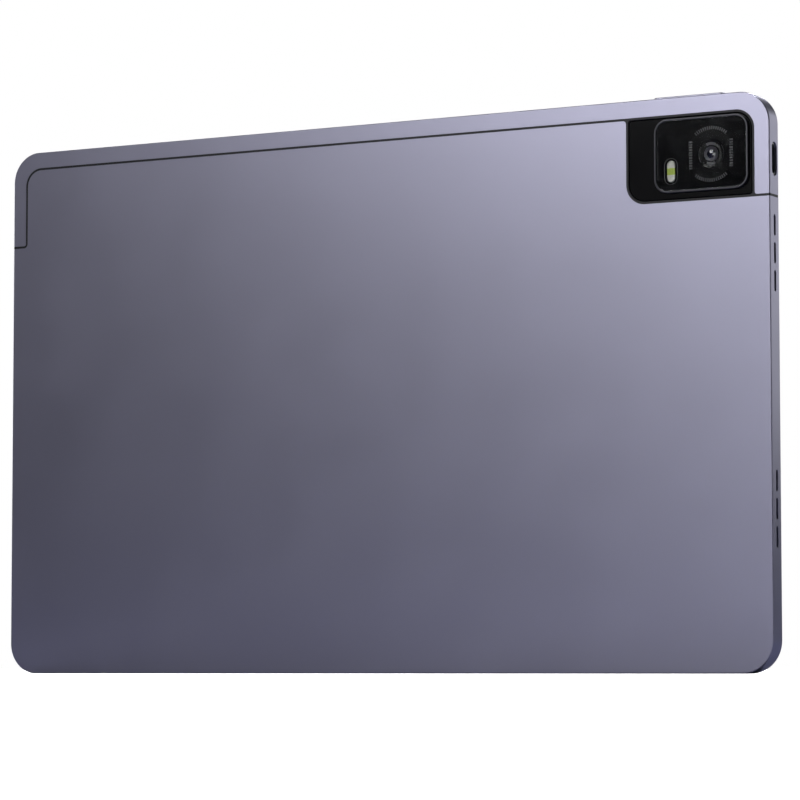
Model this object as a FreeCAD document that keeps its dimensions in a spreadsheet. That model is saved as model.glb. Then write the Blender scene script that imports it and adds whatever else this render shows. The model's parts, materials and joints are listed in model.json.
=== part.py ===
import FreeCAD, Part
import os
import re
import Sketcher

# A tablet computer standing on its long bottom edge, in millimetres.
# +X runs along the length (to the right as the back is seen), +Z is up and +Y points
# from the back cover to the screen. The origin is the middle of the bottom edge face.

SIZES = (
    # overall shell
    ("length", 258.0, "left edge to right edge"),
    ("height", 163.6, "bottom edge to top edge"),
    ("thickness", 6.9, "back face to front of the glass"),
    ("corner_radius", 9.3, "outline corners"),
    ("back_wall", 0.8, "back wall of the housing"),
    ("side_wall", 1.2, "side walls of the housing"),
    ("back_chamfer", 0.35, "bevel between back and sides"),
    ("seat_gap", 0.1, "gap between a dropped-in piece and its seat"),
    ("button_gap", 0.17, "gap around a button or tray in its slot"),
    # antenna cover, and the plastic seam between it and the metal
    ("seam_side", 4.95, "side edges to the seam's centre"),
    ("seam_top", 5.3, "top edge to the seam's centre"),
    ("seam_foot", 29.7, "top edge to the seam's level runs at the sides"),
    ("seam_width", 0.7, "width of the seam"),
    ("seam_corner", 5.3, "centre radius of the seam's top corners"),
    ("seam_turn", 1.0, "centre radius where the seam turns to the side"),
    # camera island
    ("island_width", 39.8, "outer width of the island"),
    ("island_corner", 5.8, "bottom corner of the island, on the side away from the edge"),
    ("island_notch", 1.0, "housing's corner between the seam and the island"),
    ("deck_corner", 0.9, "small corners of the deck"),
    ("deck_sink", 0.1, "deck below the back face"),
    ("deck_thick", 0.8, "deck plate"),
    ("window_width", 29.0, "camera glass with its frame"),
    ("window_tall", 21.25, "camera glass with its frame"),
    ("window_corner", 4.0, "outer corner of the frame"),
    ("window_edge", 0.6, "width of the frame"),
    ("window_side", 20.75, "right edge to the glass's centre"),
    ("window_drop", 16.82, "top edge to the glass's centre"),
    ("window_rise", 0.9, "frame above the back face"),
    ("window_sink", 0.08, "glass below the frame's top"),
    ("window_thick", 0.6, "camera glass"),
    ("lens_side", 17.75, "right edge to the lens"),
    ("lens_drop", 17.1, "top edge to the lens"),
    ("barrel_radius", 4.1, "camera barrel"),
    ("ring_radius", 2.15, "ring around the front lens"),
    ("lens_radius", 1.7, "front lens"),
    ("ring_depth", 0.5, "ring and lens along the optical axis"),
    ("barrel_gap", 0.15, "gap around the barrel"),
    ("barrel_reach", 1.7, "barrel along the optical axis"),
    ("camera_size", 10.5, "square camera base"),
    ("camera_depth", 2.6, "camera base along the optical axis"),
    ("camera_corner", 0.8, "camera base's corners"),
    ("flash_side", 30.15, "right edge to the flash window"),
    ("flash_drop", 21.3, "top edge to the flash window"),
    ("flash_width", 2.8, "flash window"),
    ("flash_tall", 6.3, "flash window"),
    ("flash_depth", 1.0, "flash window"),
    ("led_size", 2.2, "flash diode"),
    ("led_thick", 0.5, "flash diode"),
    # display module, from the glass inwards
    ("glass_thick", 0.7, "cover glass"),
    ("glass_inset", 0.3, "glass inside the outline"),
    ("lip_thick", 0.2, "frame lip between wall and glass"),
    ("lip_inset", 0.25, "lip inside the outline"),
    ("frame_skirt", 0.75, "frame below the top of the wall"),
    ("panel_border", 7.75, "outline to the panel on every side"),
    ("panel_thick", 0.7, "panel"),
    ("light_thick", 0.7, "light guide and films"),
    ("light_inset", 0.4, "light guide inside the panel's edge"),
    ("tray_thick", 0.15, "steel backlight tray"),
    ("panel_gap", 0.3, "panel to frame"),
    ("driver_width", 150.0, "display driver board"),
    ("driver_tall", 8.0, "display driver board"),
    ("driver_thick", 0.5, "display driver board"),
    ("driver_inset", 5.25, "panel's lower edge to the driver board's centre"),
    ("selfie_width", 7.5, "front camera"),
    ("selfie_tall", 4.2, "front camera"),
    ("selfie_depth", 3.0, "front camera"),
    ("selfie_drop", 4.4, "top edge to the front camera"),
    ("sensor_width", 3.2, "light sensor"),
    ("sensor_tall", 2.0, "light sensor"),
    ("sensor_depth", 0.9, "light sensor"),
    ("sensor_side", 14.0, "front camera to light sensor"),
    # battery
    ("cell_width", 77.0, "one battery cell"),
    ("cell_tall", 104.0, "one battery cell"),
    ("cell_slack", 0.55, "room for a cell to swell, under the backlight tray"),
    ("cell_gap", 2.0, "between the cells"),
    ("cell_corner", 2.0, "cell corners"),
    ("cell_shift", -23.0, "middle of the pair along X"),
    ("glue_thick", 0.1, "battery adhesive"),
    ("glue_width", 18.0, "one strip of battery adhesive"),
    ("guard_width", 60.0, "battery protection board"),
    ("guard_tall", 5.6, "battery protection board"),
    ("guard_thick", 0.6, "battery protection board"),
    ("guard_gap", 1.0, "cell to protection board"),
    # main board
    ("board_width", 42.0, "main board"),
    ("board_tall", 133.0, "main board"),
    ("board_thick", 0.7, "every circuit board"),
    ("board_gap", 7.0, "cell to main board"),
    ("board_rise", 24.0, "bottom edge to the main board"),
    ("board_lift", 1.55, "back wall to the main board"),
    ("can_width", 32.0, "shield cans"),
    ("rear_can_tall", 75.0, "rear shield can"),
    ("front_can_tall", 62.0, "front shield can"),
    ("can_depth", 1.25, "shield cans"),
    ("can_wall", 0.15, "shield can sheet"),
    ("can_drop", 40.0, "board's top to the cans' top"),
    ("chip_thick", 0.8, "chips"),
    ("processor_size", 14.0, "processor"),
    ("memory_size", 11.0, "memory"),
    ("storage_size", 12.5, "storage"),
    ("power_size", 7.0, "power chip"),
    ("radio_size", 8.0, "radio chip"),
    ("pad_width", 26.0, "thermal pad"),
    ("pad_tall", 40.0, "thermal pad"),
    ("plug_tall", 6.0, "board connectors along Z"),
    ("plug_width", 4.0, "board connectors along X"),
    ("plug_depth", 0.65, "board connectors"),
    ("tape_thick", 0.15, "flexible printed cables"),
    ("screw_inset", 2.4, "board's edge to screw centres"),
    ("screw_drop", 26.0, "board's top to the upper screws"),
    ("boss_radius", 1.7, "screw bosses"),
    ("thread_radius", 0.8, "screw thread"),
    ("head_radius", 1.5, "screw head"),
    ("head_thick", 0.5, "screw head"),
    ("screw_gap", 0.06, "thread to its hole"),
    ("screw_bite", 1.2, "thread inside the boss"),
    # charging port
    ("port_drop", 19.26, "top edge to the port and to the power key"),
    ("port_depth", -0.05, "port's centre along Y"),
    ("shell_tall", 8.94, "port shell, outer"),
    ("shell_thick", 3.16, "port shell, outer"),
    ("shell_wall", 0.3, "port shell sheet"),
    ("shell_reach", 6.5, "port shell along X"),
    ("shell_inset", 0.35, "port shell's mouth inside the side face"),
    ("shell_gap", 0.12, "port shell to its slot"),
    ("port_bevel", 0.35, "bevel around the slot"),
    ("tongue_tall", 6.2, "contact tongue"),
    ("tongue_thick", 0.7, "contact tongue"),
    ("tongue_reach", 4.5, "contact tongue"),
    ("contact_count", 12, "contacts on each side of the tongue"),
    ("contact_pitch", 0.5, "contact spacing"),
    ("contact_width", 0.25, "one contact"),
    ("contact_thick", 0.05, "one contact"),
    ("contact_reach", 3.6, "one contact along the tongue"),
    ("daughter_width", 9.8, "port board"),
    ("daughter_rise", 1.5, "seam foot to the port board's lower edge"),
    ("notch_gap", 0.3, "port shell to the board's notch"),
    # speakers
    ("slot_length", 5.95, "one sound slot"),
    ("slot_width", 1.2, "one sound slot"),
    ("slot_pitch", 7.87, "sound slot spacing"),
    ("slot_depth", -0.2, "slots, buttons and tray along Y"),
    ("speaker_offset", 35.9, "mid-height to a speaker's centre"),
    ("speaker_width", 20.0, "speaker box along X"),
    ("speaker_tall", 26.0, "speaker box along Z"),
    ("cone_slack", 0.15, "room for the diaphragm, under the backlight tray"),
    ("speaker_wall", 0.7, "speaker box walls"),
    ("mesh_thick", 0.2, "dust mesh behind the slots"),
    ("mesh_tall", 2.4, "dust mesh across the slots"),
    ("mesh_gap", 0.3, "wall to speaker box"),
    ("magnet_radius", 4.5, "speaker magnet"),
    ("magnet_thick", 1.4, "speaker magnet"),
    ("cone_thick", 0.25, "speaker diaphragm"),
    # volume rocker on the top edge
    ("rocker_side", 25.75, "right edge to the rocker's centre"),
    ("rocker_length", 22.0, "rocker cap"),
    ("rocker_width", 2.4, "rocker and power key caps"),
    ("rocker_rise", 0.7, "rocker above the top edge"),
    ("flange_thick", 0.7, "flange inside the wall"),
    ("flange_extra", 0.8, "flange beyond the cap at each end"),
    ("flange_side", 0.5, "flange beyond the cap on each side"),
    ("rocker_swing", 0.4, "wall to the rocker's flange"),
    ("nub_radius", 0.8, "button nubs"),
    ("nub_height", 0.4, "button nubs"),
    ("nub_offset", 8.0, "rocker's centre to its nubs"),
    ("dome_gap", 0.3, "nub to its dome switch"),
    ("dome_height", 0.45, "dome switches"),
    ("dome_radius", 1.4, "dome switches"),
    ("bracket_thick", 0.4, "button brackets"),
    # power key on the left edge
    ("key_length", 10.0, "power key cap"),
    ("key_rise", 0.35, "power key beyond the side face"),
    ("key_play", 0.1, "wall to the key's flange"),
    ("key_dome_gap", 0.4, "key's nub to its dome switch"),
    # card tray on the left edge
    ("door_length", 14.0, "tray door along Z"),
    ("door_width", 2.0, "tray door along Y"),
    ("carrier_tall", 12.4, "card carrier along Z"),
    ("carrier_thick", 0.9, "card carrier along Y"),
    ("carrier_reach", 16.5, "card carrier along X"),
    ("card_tall", 11.1, "card seat along Z"),
    ("card_reach", 14.8, "card seat along X"),
    ("card_sink", 0.7, "card seat's depth"),
    ("pin_radius", 0.45, "eject pin hole"),
    ("pin_offset", 5.2, "tray's centre to the pin hole"),
    ("cage_wall", 0.2, "card cage sheet"),
    ("cage_gap", 0.2, "carrier to cage"),
    ("cage_reach", 17.5, "card cage along X"),
    ("mic_radius", 0.5, "microphone hole"),
    ("mic_offset", 16.8, "tray's centre to the microphone"),
    ("mic_size", 3.0, "microphone"),
    ("mic_thick", 1.0, "microphone"),
    # antennas
    ("antenna_length", 72.0, "one antenna film"),
    ("antenna_width", 2.8, "antenna film"),
    ("antenna_side", 52.0, "middle to an antenna's centre"),
    ("coax_radius", 0.4, "antenna cable"),
    ("coax_bend", 4.0, "antenna cable's bend"),
)

# Shared places, as formulas in the sheet's names.
RIGHT = "length / 2"
LEFT = "-length / 2"
MIDDLE = "height / 2"
BACK = "-thickness / 2"
FLOOR = "(back_wall - thickness / 2)"
GLASS_BACK = "(thickness / 2 - glass_thick)"
RIM = "(thickness / 2 - glass_thick - lip_thick)"
BAND = "(thickness - glass_thick - lip_thick)"
TRAY_BACK = "(thickness / 2 - glass_thick - panel_thick - light_thick - tray_thick)"
DECK = "(deck_sink - thickness / 2)"
PANEL_WIDTH = "(length - 2 * panel_border)"
PANEL_TALL = "(height - 2 * panel_border)"
DRIVER_Z = "(panel_border + driver_inset)"
BOARD_BACK = f"({FLOOR} + board_lift)"
BOARD_FRONT = f"({FLOOR} + board_lift + board_thick)"
PLUG_TOP = f"({BOARD_FRONT} + plug_depth)"
CELL_BACK = f"({FLOOR} + glue_thick)"
CELL_THICK = f"({TRAY_BACK} - {CELL_BACK} - cell_slack)"
SPEAKER_DEPTH = f"({TRAY_BACK} - {CELL_BACK} - cone_thick - cone_slack)"
CELL_RIGHT = "(cell_shift + cell_gap / 2 + cell_width)"
BOARD_LEFT = f"({CELL_RIGHT} + board_gap)"
BOARD_MIDDLE = f"({BOARD_LEFT} + board_width / 2)"
BOARD_RIGHT = f"({BOARD_LEFT} + board_width)"
BOARD_TOP = "(board_rise + board_tall)"
CAN_TOP = f"({BOARD_TOP} - can_drop)"
CAMERA_PLUG_X = f"({BOARD_RIGHT} - 2 * plug_width)"
PORT_PLUG_X = f"({BOARD_RIGHT} - 1.5 * plug_width)"
BATTERY_PLUG_X = f"({BOARD_LEFT} + 1.5 * plug_width)"
DISPLAY_PLUG_X = f"({BOARD_LEFT} + 2.5 * plug_width)"
BEYOND = "length"
ISLAND_LEFT = "(length / 2 - seam_side + seam_width / 2 - island_width)"
ISLAND_LOW = "(height - seam_foot - seam_width / 2)"
LENS_X = "(length / 2 - lens_side)"
LENS_Z = "(height - lens_drop)"
WINDOW_X = "(length / 2 - window_side)"
WINDOW_Z = "(height - window_drop)"
WINDOW_BACK = "(window_sink - window_rise - thickness / 2)"
TRIM_BACK = f"({WINDOW_BACK} + window_thick)"
FLASH_X = "(length / 2 - flash_side)"
FLASH_Z = "(height - flash_drop)"
PORT_Z = "(height - port_drop)"
SHELL_X = "(length / 2 - shell_inset - shell_reach)"
FLANGE_TOP = "(height - side_wall - rocker_swing)"
DOME_TOP = f"({FLANGE_TOP} - flange_thick - nub_height - dome_gap)"
SWITCH_TOP = f"({DOME_TOP} - dome_height)"
ROCKER_X = "(length / 2 - rocker_side)"

doc = FreeCAD.newDocument("tablet")
sheet = doc.addObject("Spreadsheet::Sheet", "Sizes")
ALIASES = {name for name, value, note in SIZES}
TOUCH = 1e-4


def fill_sheet():
    """Write every driving size into the sheet: note, value and alias."""
    for row, (name, value, note) in enumerate(SIZES, start=1):
        sheet.set(f"A{row}", note)
        sheet.set(f"B{row}", str(value))
        sheet.setAlias(f"B{row}", name)
    doc.recompute()


def formula(text):
    """Point each size name in a formula at its cell."""
    return re.sub(r"[a-z_]+", lambda word: f"Sizes.{word[0]}" if word[0] in ALIASES else word[0], text)


def number(text):
    """The present value of a formula."""
    return float(sheet.evalExpression(text))


def bind(thing, path, text):
    thing.setExpression(path, formula(text))


# ---------------------------------------------------------------- drawing helpers

def new_body(label, x="0", y="0", z="0"):
    """A PartDesign body of its own, placed at (x, y, z)."""
    body = doc.addObject("PartDesign::Body", label)
    body.Label = label
    body.AllowCompound = True
    bind(body, "Placement.Base.x", x)
    bind(body, "Placement.Base.y", y)
    bind(body, "Placement.Base.z", z)
    return body


def new_sketch(body, plane, offset="0"):
    """A sketch on one of the body's planes, moved along +X, +Y or +Z by offset."""
    sketch = body.newObject("Sketcher::SketchObject", body.Label + "_sketch")
    support = [item for item in body.Origin.OriginFeatures if item.Role == plane][0]
    sketch.AttachmentSupport = [(support, "")]
    sketch.MapMode = "FlatFace"
    sign = "-" if plane == "XZ_Plane" else ""
    bind(sketch, "AttachmentOffset.Base.z", f"{sign}({offset})")
    return sketch


def constrain(sketch, kind, places, text):
    """Add a dimension and bind it to a formula."""
    index = sketch.addConstraint(Sketcher.Constraint(kind, *places, number(text)))
    sketch.renameConstraint(index, f"size{index}")
    bind(sketch, f"Constraints.size{index}", text)


def sign_of(value):
    return (value > 0) - (value < 0)


def outline(sketch, corners):
    """A closed outline of level and upright lines, anticlockwise, through (x, y, radius)."""
    points = [tuple(number(text) for text in corner) for corner in corners]
    count = len(points)
    steps = []
    lines = []
    for index, (ax, ay, ar) in enumerate(points):
        bx, by, br = points[(index + 1) % count]
        level = abs(bx - ax) > abs(by - ay)
        step = (sign_of(bx - ax), 0) if level else (0, sign_of(by - ay))
        start = FreeCAD.Vector(ax + step[0] * ar, ay + step[1] * ar, 0)
        end = FreeCAD.Vector(bx - step[0] * br, by - step[1] * br, 0)
        line = sketch.addGeometry(Part.LineSegment(start, end), False)
        sketch.addConstraint(Sketcher.Constraint("Horizontal" if level else "Vertical", line))
        across = "DistanceY" if level else "DistanceX"
        constrain(sketch, across, (-1, 1, line, 1), corners[index][1 if level else 0])
        steps.append(step)
        lines.append(line)
    for index, corner in enumerate(corners):
        join_corner(sketch, lines[index - 1], lines[index], steps[index - 1], steps[index], corner)


def join_corner(sketch, before, after, step_in, step_out, corner):
    """Join two lines at a corner, by an arc where the corner has a radius."""
    x, y, radius = (number(text) for text in corner)
    if radius == 0:
        sketch.addConstraint(Sketcher.Constraint("Coincident", before, 2, after, 1))
        return
    across, up = step_out[0] - step_in[0], step_out[1] - step_in[1]
    centre = FreeCAD.Vector(x + radius * across, y + radius * up, 0)
    circle = Part.Circle(centre, FreeCAD.Vector(0, 0, 1), radius)
    entry = FreeCAD.Vector(x - step_in[0] * radius, y - step_in[1] * radius, 0)
    leave = FreeCAD.Vector(x + step_out[0] * radius, y + step_out[1] * radius, 0)
    turns_left = step_in[0] * step_out[1] - step_in[1] * step_out[0] > 0
    first, last = (entry, leave) if turns_left else (leave, entry)
    arc_shape = Part.ArcOfCircle(circle, circle.parameter(first), circle.parameter(last))
    arc = sketch.addGeometry(arc_shape, False)
    entry_end, leave_end = (1, 2) if turns_left else (2, 1)
    sketch.addConstraint(Sketcher.Constraint("Tangent", before, 2, arc, entry_end))
    sketch.addConstraint(Sketcher.Constraint("Tangent", arc, leave_end, after, 1))
    constrain(sketch, "Radius", (arc,), corner[2])


def rectangle(sketch, x, y, width, tall, radius="0"):
    """A rectangle centred on (x, y), with equal corners."""
    low_x, high_x = f"({x}) - ({width}) / 2", f"({x}) + ({width}) / 2"
    low_y, high_y = f"({y}) - ({tall}) / 2", f"({y}) + ({tall}) / 2"
    corners = ((low_x, low_y), (high_x, low_y), (high_x, high_y), (low_x, high_y))
    outline(sketch, [(x, y, radius) for x, y in corners])


def circle(sketch, x, y, radius):
    shape = Part.Circle(FreeCAD.Vector(number(x), number(y), 0), FreeCAD.Vector(0, 0, 1), number(radius))
    index = sketch.addGeometry(shape, False)
    constrain(sketch, "DistanceX", (-1, 1, index, 3), x)
    constrain(sketch, "DistanceY", (-1, 1, index, 3), y)
    constrain(sketch, "Radius", (index,), radius)


def pill(sketch, x, y, width, tall):
    """A slot with round ends, centred on (x, y); its long side may be either one."""
    upright = number(tall) > number(width)
    short, long = (width, tall) if upright else (tall, width)
    radius = number(short) / 2
    reach = number(long) / 2 - radius
    centre = FreeCAD.Vector(number(x), number(y), 0)
    along = FreeCAD.Vector(0, 1, 0) if upright else FreeCAD.Vector(1, 0, 0)
    side = FreeCAD.Vector(along.y, -along.x, 0)
    far = Part.Circle(centre + along * reach, FreeCAD.Vector(0, 0, 1), radius)
    near = Part.Circle(centre - along * reach, FreeCAD.Vector(0, 0, 1), radius)
    signs = ((-1, 1), (1, 1), (1, -1), (-1, -1))
    corners = [centre + along * a * reach + side * b * radius for a, b in signs]
    far_arc = Part.ArcOfCircle(far, far.parameter(corners[1]), far.parameter(corners[2]))
    near_arc = Part.ArcOfCircle(near, near.parameter(corners[3]), near.parameter(corners[0]))
    one = sketch.addGeometry(Part.LineSegment(corners[0], corners[1]), False)
    top = sketch.addGeometry(far_arc, False)
    two = sketch.addGeometry(Part.LineSegment(corners[2], corners[3]), False)
    end = sketch.addGeometry(near_arc, False)
    for first, second in ((one, top), (top, two), (two, end), (end, one)):
        sketch.addConstraint(Sketcher.Constraint("Tangent", first, 2, second, 1))
    sketch.addConstraint(Sketcher.Constraint("Vertical" if upright else "Horizontal", one))
    sketch.addConstraint(Sketcher.Constraint("Equal", top, end))
    constrain(sketch, "Radius", (top,), f"({short}) / 2")
    across, lengthways = ("DistanceX", "DistanceY") if upright else ("DistanceY", "DistanceX")
    place_across, place_along = (x, y) if upright else (y, x)
    constrain(sketch, across, (-1, 1, top, 3), place_across)
    constrain(sketch, lengthways, (-1, 1, top, 3), f"({place_along}) + (({long}) - ({short})) / 2")
    constrain(sketch, lengthways, (-1, 1, end, 3), f"({place_along}) - (({long}) - ({short})) / 2")


def extrude(kind, body, sketch, length, positive):
    """Pad or pocket a sketch by length, towards the positive or negative axis."""
    feature = body.newObject(f"PartDesign::{kind}", f"{body.Label}_{kind.lower()}")
    feature.Profile = (sketch, [""])
    normal_positive = sketch.AttachmentSupport[0][0].Role != "XZ_Plane"
    default_positive = normal_positive if kind == "Pad" else not normal_positive
    feature.Reversed = positive != default_positive
    bind(feature, "Length", length)
    return feature


def pad(body, sketch, length, positive=True):
    return extrude("Pad", body, sketch, length, positive)


def pocket(body, sketch, length, positive=True):
    """Cut a sketch out of the body, and make sure that it does cut."""
    doc.recompute()
    before = body.Shape.Volume
    feature = extrude("Pocket", body, sketch, length, positive)
    doc.recompute()
    if not body.Shape.Volume < before - TOUCH:
        raise RuntimeError(f"{feature.Label} cuts nothing")
    return feature


def bevel(body, chosen, size):
    """Chamfer the body's edges for which chosen(edge) holds."""
    doc.recompute()
    base = body.Tip
    names = [f"Edge{i}" for i, edge in enumerate(base.Shape.Edges, start=1) if chosen(edge)]
    feature = body.newObject("PartDesign::Chamfer", body.Label + "_bevel")
    feature.Base = (base, names)
    bind(feature, "Size", size)
    return feature


def plate(label, x, y, z, width, depth, tall, radius="0"):
    """A flat piece centred on x and z, reaching from y to y + depth."""
    body = new_body(label, x, y, z)
    sketch = new_sketch(body, "XZ_Plane")
    rectangle(sketch, "0", "0", width, tall, radius)
    pad(body, sketch, depth)
    return body


def disc(label, x, y, z, radius, depth):
    """A round piece on an axis along Y, reaching from y to y + depth."""
    body = new_body(label, x, y, z)
    sketch = new_sketch(body, "XZ_Plane")
    circle(sketch, "0", "0", radius)
    pad(body, sketch, depth)
    return body


# ---------------------------------------------------------------- shell

def shell_blank(label):
    """The whole outer shell: rounded outline, bevelled at the back, hollow from the front."""
    body = new_body(label)
    sketch = new_sketch(body, "XZ_Plane", BACK)
    rectangle(sketch, "0", MIDDLE, "length", "height", "corner_radius")
    pad(body, sketch, BAND)
    back = number(BACK)
    bevel(body, lambda edge: abs(edge.BoundBox.YMax - back) < TOUCH, "back_chamfer")
    sketch = new_sketch(body, "XZ_Plane", FLOOR)
    width, tall = "length - 2 * side_wall", "height - 2 * side_wall"
    rectangle(sketch, "0", MIDDLE, width, tall, "corner_radius - side_wall")
    pocket(body, sketch, "thickness")
    return body


def metal_profile(sketch):
    """The metal's edge: full width below the seam's feet, a tower above them, cut back for the island."""
    tower = "(length / 2 - seam_side - seam_width / 2)"
    top = "(height - seam_top - seam_width / 2)"
    outline(sketch, [
        (f"-{BEYOND}", f"-{BEYOND}", "0"),
        (BEYOND, f"-{BEYOND}", "0"),
        (BEYOND, ISLAND_LOW, "0"),
        (ISLAND_LEFT, ISLAND_LOW, "island_corner"),
        (ISLAND_LEFT, top, "island_notch"),
        (f"-{tower}", top, "seam_corner - seam_width / 2"),
        (f"-{tower}", ISLAND_LOW, "seam_turn + seam_width / 2"),
        (f"-{BEYOND}", ISLAND_LOW, "0"),
    ])


def cover_profile(sketch):
    """The antenna cover's inner edge: the same tower, outside the seam and round the island."""
    tower = "(length / 2 - seam_side + seam_width / 2)"
    top = "(height - seam_top + seam_width / 2)"
    foot = "(height - seam_foot + seam_width / 2)"
    corner = "seam_corner + seam_width / 2"
    outline(sketch, [
        (f"-{BEYOND}", f"-{BEYOND}", "0"),
        (BEYOND, f"-{BEYOND}", "0"),
        (BEYOND, foot, "0"),
        (tower, foot, "seam_turn - seam_width / 2"),
        (tower, top, corner),
        (f"-{tower}", top, corner),
        (f"-{tower}", foot, "seam_turn - seam_width / 2"),
        (f"-{BEYOND}", foot, "0"),
    ])


def deck_outline(sketch):
    """The camera deck, one seam's width inside the island."""
    left = f"({ISLAND_LEFT} + seam_width)"
    low = f"({ISLAND_LOW} + seam_width)"
    right = "(length / 2 - seam_side - seam_width / 2)"
    top = "(height - seam_top - seam_width / 2)"
    outline(sketch, [
        (left, low, "island_corner - seam_width"),
        (right, low, "deck_corner"),
        (right, top, "seam_corner - seam_width / 2"),
        (left, top, "deck_corner"),
    ])


def keep_inside(body, profile):
    """Cut away all that lies outside a profile."""
    sketch = new_sketch(body, "XZ_Plane", f"{BACK} - thickness")
    rectangle(sketch, "0", "0", f"3 * {BEYOND}", f"3 * {BEYOND}")
    profile(sketch)
    pocket(body, sketch, "3 * thickness")


def keep_outside(body, profile):
    """Cut away all that lies inside a profile."""
    sketch = new_sketch(body, "XZ_Plane", f"{BACK} - thickness")
    profile(sketch)
    pocket(body, sketch, "3 * thickness")


def screw_places():
    """The main board's screw centres, as (x, z) formulas."""
    left = f"{BOARD_LEFT} + screw_inset"
    right = f"{BOARD_RIGHT} - screw_inset"
    low = "board_rise + screw_inset"
    high = f"{BOARD_TOP} - screw_drop"
    return [(x, z) for x in (left, right) for z in (low, high)]


def speaker_heights():
    return [f"({MIDDLE} {sign} speaker_offset)" for sign in "+-"]


def cut_sound_slots(body, side):
    """Three sound slots in each of a side wall's two groups."""
    wall = RIGHT if side == "right" else LEFT
    sketch = new_sketch(body, "YZ_Plane", wall)
    for centre in speaker_heights():
        for step in (-1, 0, 1):
            pill(sketch, "slot_depth", f"{centre} + {step} * slot_pitch", "slot_width", "slot_length")
    pocket(body, sketch, "2 * side_wall", positive=side == "left")


def rear_housing():
    body = shell_blank("rear_housing")
    keep_inside(body, metal_profile)
    sketch = new_sketch(body, "XZ_Plane", FLOOR)
    for x, z in screw_places():
        circle(sketch, x, z, "boss_radius")
    pad(body, sketch, "board_lift")
    sketch = new_sketch(body, "XZ_Plane", BOARD_BACK)
    for x, z in screw_places():
        circle(sketch, x, z, "thread_radius + screw_gap")
    pocket(body, sketch, "screw_bite + screw_gap", positive=False)
    cut_sound_slots(body, "right")
    cut_sound_slots(body, "left")
    sketch = new_sketch(body, "YZ_Plane", LEFT)
    pill(sketch, "slot_depth", MIDDLE, "door_width + 2 * button_gap", "door_length + 2 * button_gap")
    circle(sketch, "slot_depth", f"{MIDDLE} + mic_offset", "mic_radius")
    pocket(body, sketch, "2 * side_wall")


def antenna_cover():
    body = shell_blank("antenna_cover")
    keep_outside(body, cover_profile)
    sketch = new_sketch(body, "XY_Plane", "height")
    pill(sketch, ROCKER_X, "slot_depth", "rocker_length + 2 * button_gap", "rocker_width + 2 * button_gap")
    pocket(body, sketch, "2 * side_wall", positive=False)
    sketch = new_sketch(body, "YZ_Plane", LEFT)
    pill(sketch, "slot_depth", PORT_Z, "rocker_width + 2 * button_gap", "key_length + 2 * button_gap")
    pocket(body, sketch, "2 * side_wall")
    sketch = new_sketch(body, "YZ_Plane", RIGHT)
    pill(sketch, "port_depth", PORT_Z, "shell_thick + 2 * shell_gap", "shell_tall + 2 * shell_gap")
    pocket(body, sketch, "2 * side_wall", positive=False)
    right = number(RIGHT)
    reach = number("shell_tall")
    mouth = number(PORT_Z)
    bevel(body, lambda edge: edge.BoundBox.XMin > right - TOUCH
          and abs(edge.CenterOfMass.z - mouth) < reach
          and edge.BoundBox.ZLength < reach
          and abs(edge.CenterOfMass.y) < number("shell_thick"), "port_bevel")


def seam_insert():
    """The plastic seam around the antenna cover, with the camera island's rim."""
    body = shell_blank("seam_insert")
    keep_outside(body, metal_profile)
    keep_inside(body, cover_profile)
    keep_outside(body, deck_outline)


# ---------------------------------------------------------------- rear camera

def camera_deck():
    """The dark plate that fills the island, with holes for the camera and the flash."""
    body = new_body("camera_deck")
    sketch = new_sketch(body, "XZ_Plane", DECK)
    deck_outline(sketch)
    pad(body, sketch, "deck_thick")
    sketch = new_sketch(body, "XZ_Plane", DECK)
    circle(sketch, LENS_X, LENS_Z, "barrel_radius + barrel_gap")
    pill(sketch, FLASH_X, FLASH_Z, "flash_width + 2 * seat_gap", "flash_tall + 2 * seat_gap")
    pocket(body, sketch, "deck_thick")


def camera_window_frame():
    """The thin polished frame that stands out around the camera glass."""
    body = new_body("camera_window_frame", WINDOW_X, f"{BACK} - window_rise", WINDOW_Z)
    sketch = new_sketch(body, "XZ_Plane")
    rectangle(sketch, "0", "0", "window_width", "window_tall", "window_corner")
    width, tall = "window_width - 2 * window_edge", "window_tall - 2 * window_edge"
    rectangle(sketch, "0", "0", width, tall, "window_corner - window_edge")
    pad(body, sketch, "window_rise + deck_sink")


def window_plate(label, y, depth):
    """A plate that drops into the camera window's frame."""
    width = "window_width - 2 * window_edge - seat_gap"
    tall = "window_tall - 2 * window_edge - seat_gap"
    corner = "window_corner - window_edge - seat_gap / 2"
    return plate(label, WINDOW_X, y, WINDOW_Z, width, depth, tall, corner)


def camera_window():
    window_plate("camera_window", WINDOW_BACK, "window_thick")


def camera_trim_plate():
    """The black plate behind the glass, open at the lens and the flash."""
    body = window_plate("camera_trim_plate", TRIM_BACK, f"{DECK} - {TRIM_BACK}")
    sketch = new_sketch(body, "XZ_Plane")
    circle(sketch, f"{LENS_X} - {WINDOW_X}", f"{LENS_Z} - {WINDOW_Z}", "barrel_radius + barrel_gap")
    pill(sketch, f"{FLASH_X} - {WINDOW_X}", f"{FLASH_Z} - {WINDOW_Z}",
         "flash_width + 2 * seat_gap", "flash_tall + 2 * seat_gap")
    pocket(body, sketch, "window_rise")


BARREL_BACK = f"({TRIM_BACK} + seat_gap)"
BASE_BACK = f"({BARREL_BACK} + barrel_reach)"


def camera_barrel():
    body = disc("camera_barrel", LENS_X, BARREL_BACK, LENS_Z, "barrel_radius", "barrel_reach")
    sketch = new_sketch(body, "XZ_Plane")
    circle(sketch, "0", "0", "ring_radius")
    pocket(body, sketch, "ring_depth")


def lens_ring():
    body = new_body("lens_ring", LENS_X, BARREL_BACK, LENS_Z)
    sketch = new_sketch(body, "XZ_Plane")
    circle(sketch, "0", "0", "ring_radius")
    circle(sketch, "0", "0", "lens_radius")
    pad(body, sketch, "ring_depth")


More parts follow.
